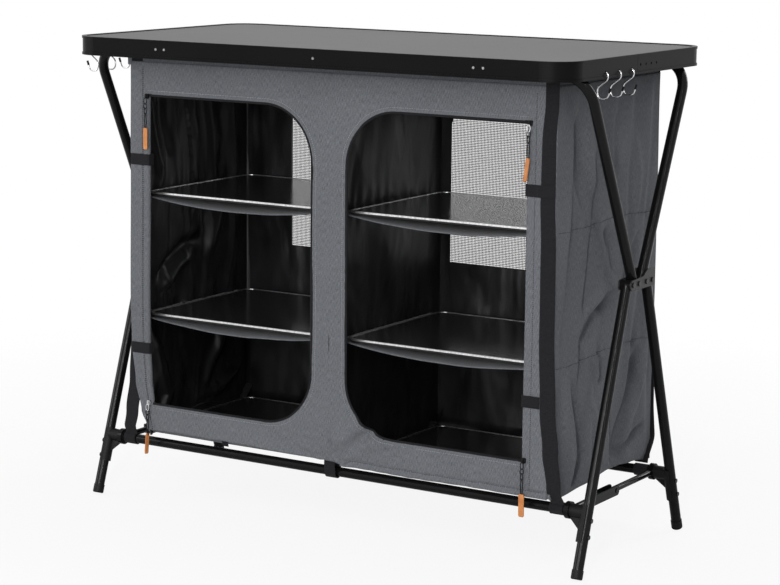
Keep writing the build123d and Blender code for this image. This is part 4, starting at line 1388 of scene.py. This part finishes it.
for (end, sideName), (sliderMat, ringMat, turn, lean, width) in pull["looks"].items():
    top = pull["top"][end]
    x = pull["x"] if sideName == "right" else -pull["x"]
    y = pull["y"]
    title = end.title() + sideName.title()
    dress(["zip_slider_%s_%s" % (end, sideName)], sliderMat)
    pieces = []
    for number, (drop, high, wide) in enumerate(pull["rings"]):
        ring = []
        twist = 0.0006 if number % 2 == 0 else 0.0016
        for k in range(16):
            angle = 2 * math.pi * k / 16
            z = top - drop + high * math.sin(angle)
            ring.append((x + wide * math.cos(angle), y + twist * math.cos(angle), z))
        name = "pullLink%s%d" % (title, number + 1)
        material = ringMat if number == 0 else plasticMat
        pieces.append(makeTube(name, ring, pull["ringWire"], material, closed=True))
    low = top - pull["tagDrop"]
    back = [(-a, -b, c) for a, b, c in reversed(pull["cordHalf"])]
    cordRun = [(x + a, y + b, low + c) for a, b, c in pull["cordHalf"] + [(0.0, 0.0, pull["cordTop"])] + back]
    pieces.append(makeTube("pullCord" + title, cordRun, pull["cord"], webbingMat))
    tag = makeTag("pullTag" + title, x, y, low, turn, lean, width)
    bodyName = "zip_pull_%s_%s" % (end, sideName)
    for piece in pieces + [tag]:
        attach(piece, bodyName)
    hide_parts(bodyName)
print("stage: zip pulls")


# Camera, light and floor
cameraView = {"place": (2.2275, -3.5519, 1.1312), "yaw": 31.92, "pitch": 9.836, "roll": 0.591, "lens": 109.45}
cameraData = bpy.data.cameras.new("camera")
cameraData.lens = cameraView["lens"]
cameraData.sensor_width = 36.0
cameraData.sensor_fit = "HORIZONTAL"
cameraItem = linkObject("camera", cameraData)
turn = Matrix.Rotation(math.radians(cameraView["yaw"]), 4, "Z")
turn = turn @ Matrix.Rotation(math.radians(90.0 - cameraView["pitch"]), 4, "X")
turn = turn @ Matrix.Rotation(math.radians(cameraView["roll"]), 4, "Z")
cameraItem.matrix_world = Matrix.Translation(cameraView["place"]) @ turn
bpy.context.scene.camera = cameraItem
bpy.context.scene.view_settings.view_transform = "Standard"

lights = {
    "front": {"place": (0.4, -4.2, 1.25), "aim": (0.0, 0.0, 0.5), "size": (3.0, 1.5), "power": 82.0},
    "left": {"place": (-3.2, -2.2, 1.5), "aim": (0.0, 0.0, 0.5), "size": (1.6, 1.8), "power": 34.0},
    "right": {"place": (1.7, 3.3, 1.9), "aim": (0.4, 0.0, 0.5), "size": (0.5, 1.6), "power": 20.0},
    "top": {"place": (0.0, 0.6, 3.2), "aim": (0.0, 0.0, 0.8), "size": (2.8, 1.6), "power": 26.0},
    "stripNear": {"place": (1.75, -3.7, 2.35), "aim": (0.0, 0.0, 0.55), "size": (0.050, 2.4), "power": 48.0},
    "stripFar": {"place": (3.45, -2.15, 2.35), "aim": (0.0, 0.0, 0.55), "size": (0.030, 2.4), "power": 16.0},
}
for name, item in lights.items():
    data = bpy.data.lights.new(name, "AREA")
    data.shape = "RECTANGLE"
    data.size, data.size_y = item["size"]
    data.energy = item["power"]
    lamp = linkObject(name, data)
    lamp.location = item["place"]
    direction = Vector(item["aim"]) - Vector(item["place"])
    lamp.rotation_euler = direction.to_track_quat("-Z", "Y").to_euler()

world = bpy.data.worlds.new("studio")
bpy.context.scene.world = world
world.use_nodes = True
tree = world.node_tree
tree.nodes.clear()
paths = addNode(tree, "ShaderNodeLightPath").outputs
shiny = addMath(tree, "MAXIMUM", paths["Is Glossy Ray"], paths["Is Transmission Ray"])
seen = addMath(tree, "MAXIMUM", paths["Is Camera Ray"], shiny)
soft = addNode(tree, "ShaderNodeBackground", {"Color": (0.80, 0.82, 0.85, 1.0), "Strength": 0.25})
white = addNode(tree, "ShaderNodeBackground", {"Color": (1.0, 1.0, 1.0, 1.0), "Strength": 1.0})
mixed = addNode(tree, "ShaderNodeMixShader", {0: seen, 1: soft.outputs[0], 2: white.outputs[0]})
addNode(tree, "ShaderNodeOutputWorld", {"Surface": mixed.outputs[0]})

# The floor is pale paper: the camera sees it nearly white, with the shadow left in it.
floorPlan = {
    "radius": 3.2, "under": 0.0004, "from": 0.7, "to": 1.9, "shade": (0.90, 0.90, 0.90, 1.0), "rough": 0.9,
    "glow": 0.88,
}
bpy.ops.mesh.primitive_circle_add(vertices=96, radius=floorPlan["radius"], fill_type="NGON")
floor = bpy.context.object
floor.location.z = -floorPlan["under"]
floor.name = "floor"
floorMat, tree, shader = newMaterial("paleFloor")
setInputs(tree, shader, {"Base Color": floorPlan["shade"], "Roughness": floorPlan["rough"]})
glow = addNode(tree, "ShaderNodeEmission", {"Color": (1.0, 1.0, 1.0, 1.0), "Strength": 1.0}).outputs[0]
cameraRay = addNode(tree, "ShaderNodeLightPath").outputs["Is Camera Ray"]
share = addMath(tree, "MULTIPLY", cameraRay, floorPlan["glow"])
paper = addNode(tree, "ShaderNodeMixShader", {0: share, 1: shader.outputs[0], 2: glow})
distance = addNode(tree, "ShaderNodeVectorMath", {0: objectPlace(tree)}, operation="LENGTH").outputs["Value"]
fade = addFade(tree, distance, floorPlan)
clear = addNode(tree, "ShaderNodeBsdfTransparent")
blend = addNode(tree, "ShaderNodeMixShader", {0: fade, 1: paper.outputs[0], 2: clear.outputs[0]})
tree.links.new(blend.outputs[0], tree.nodes["Material Output"].inputs["Surface"])
floor.data.materials.append(floorMat)
print("stage: camera and light")
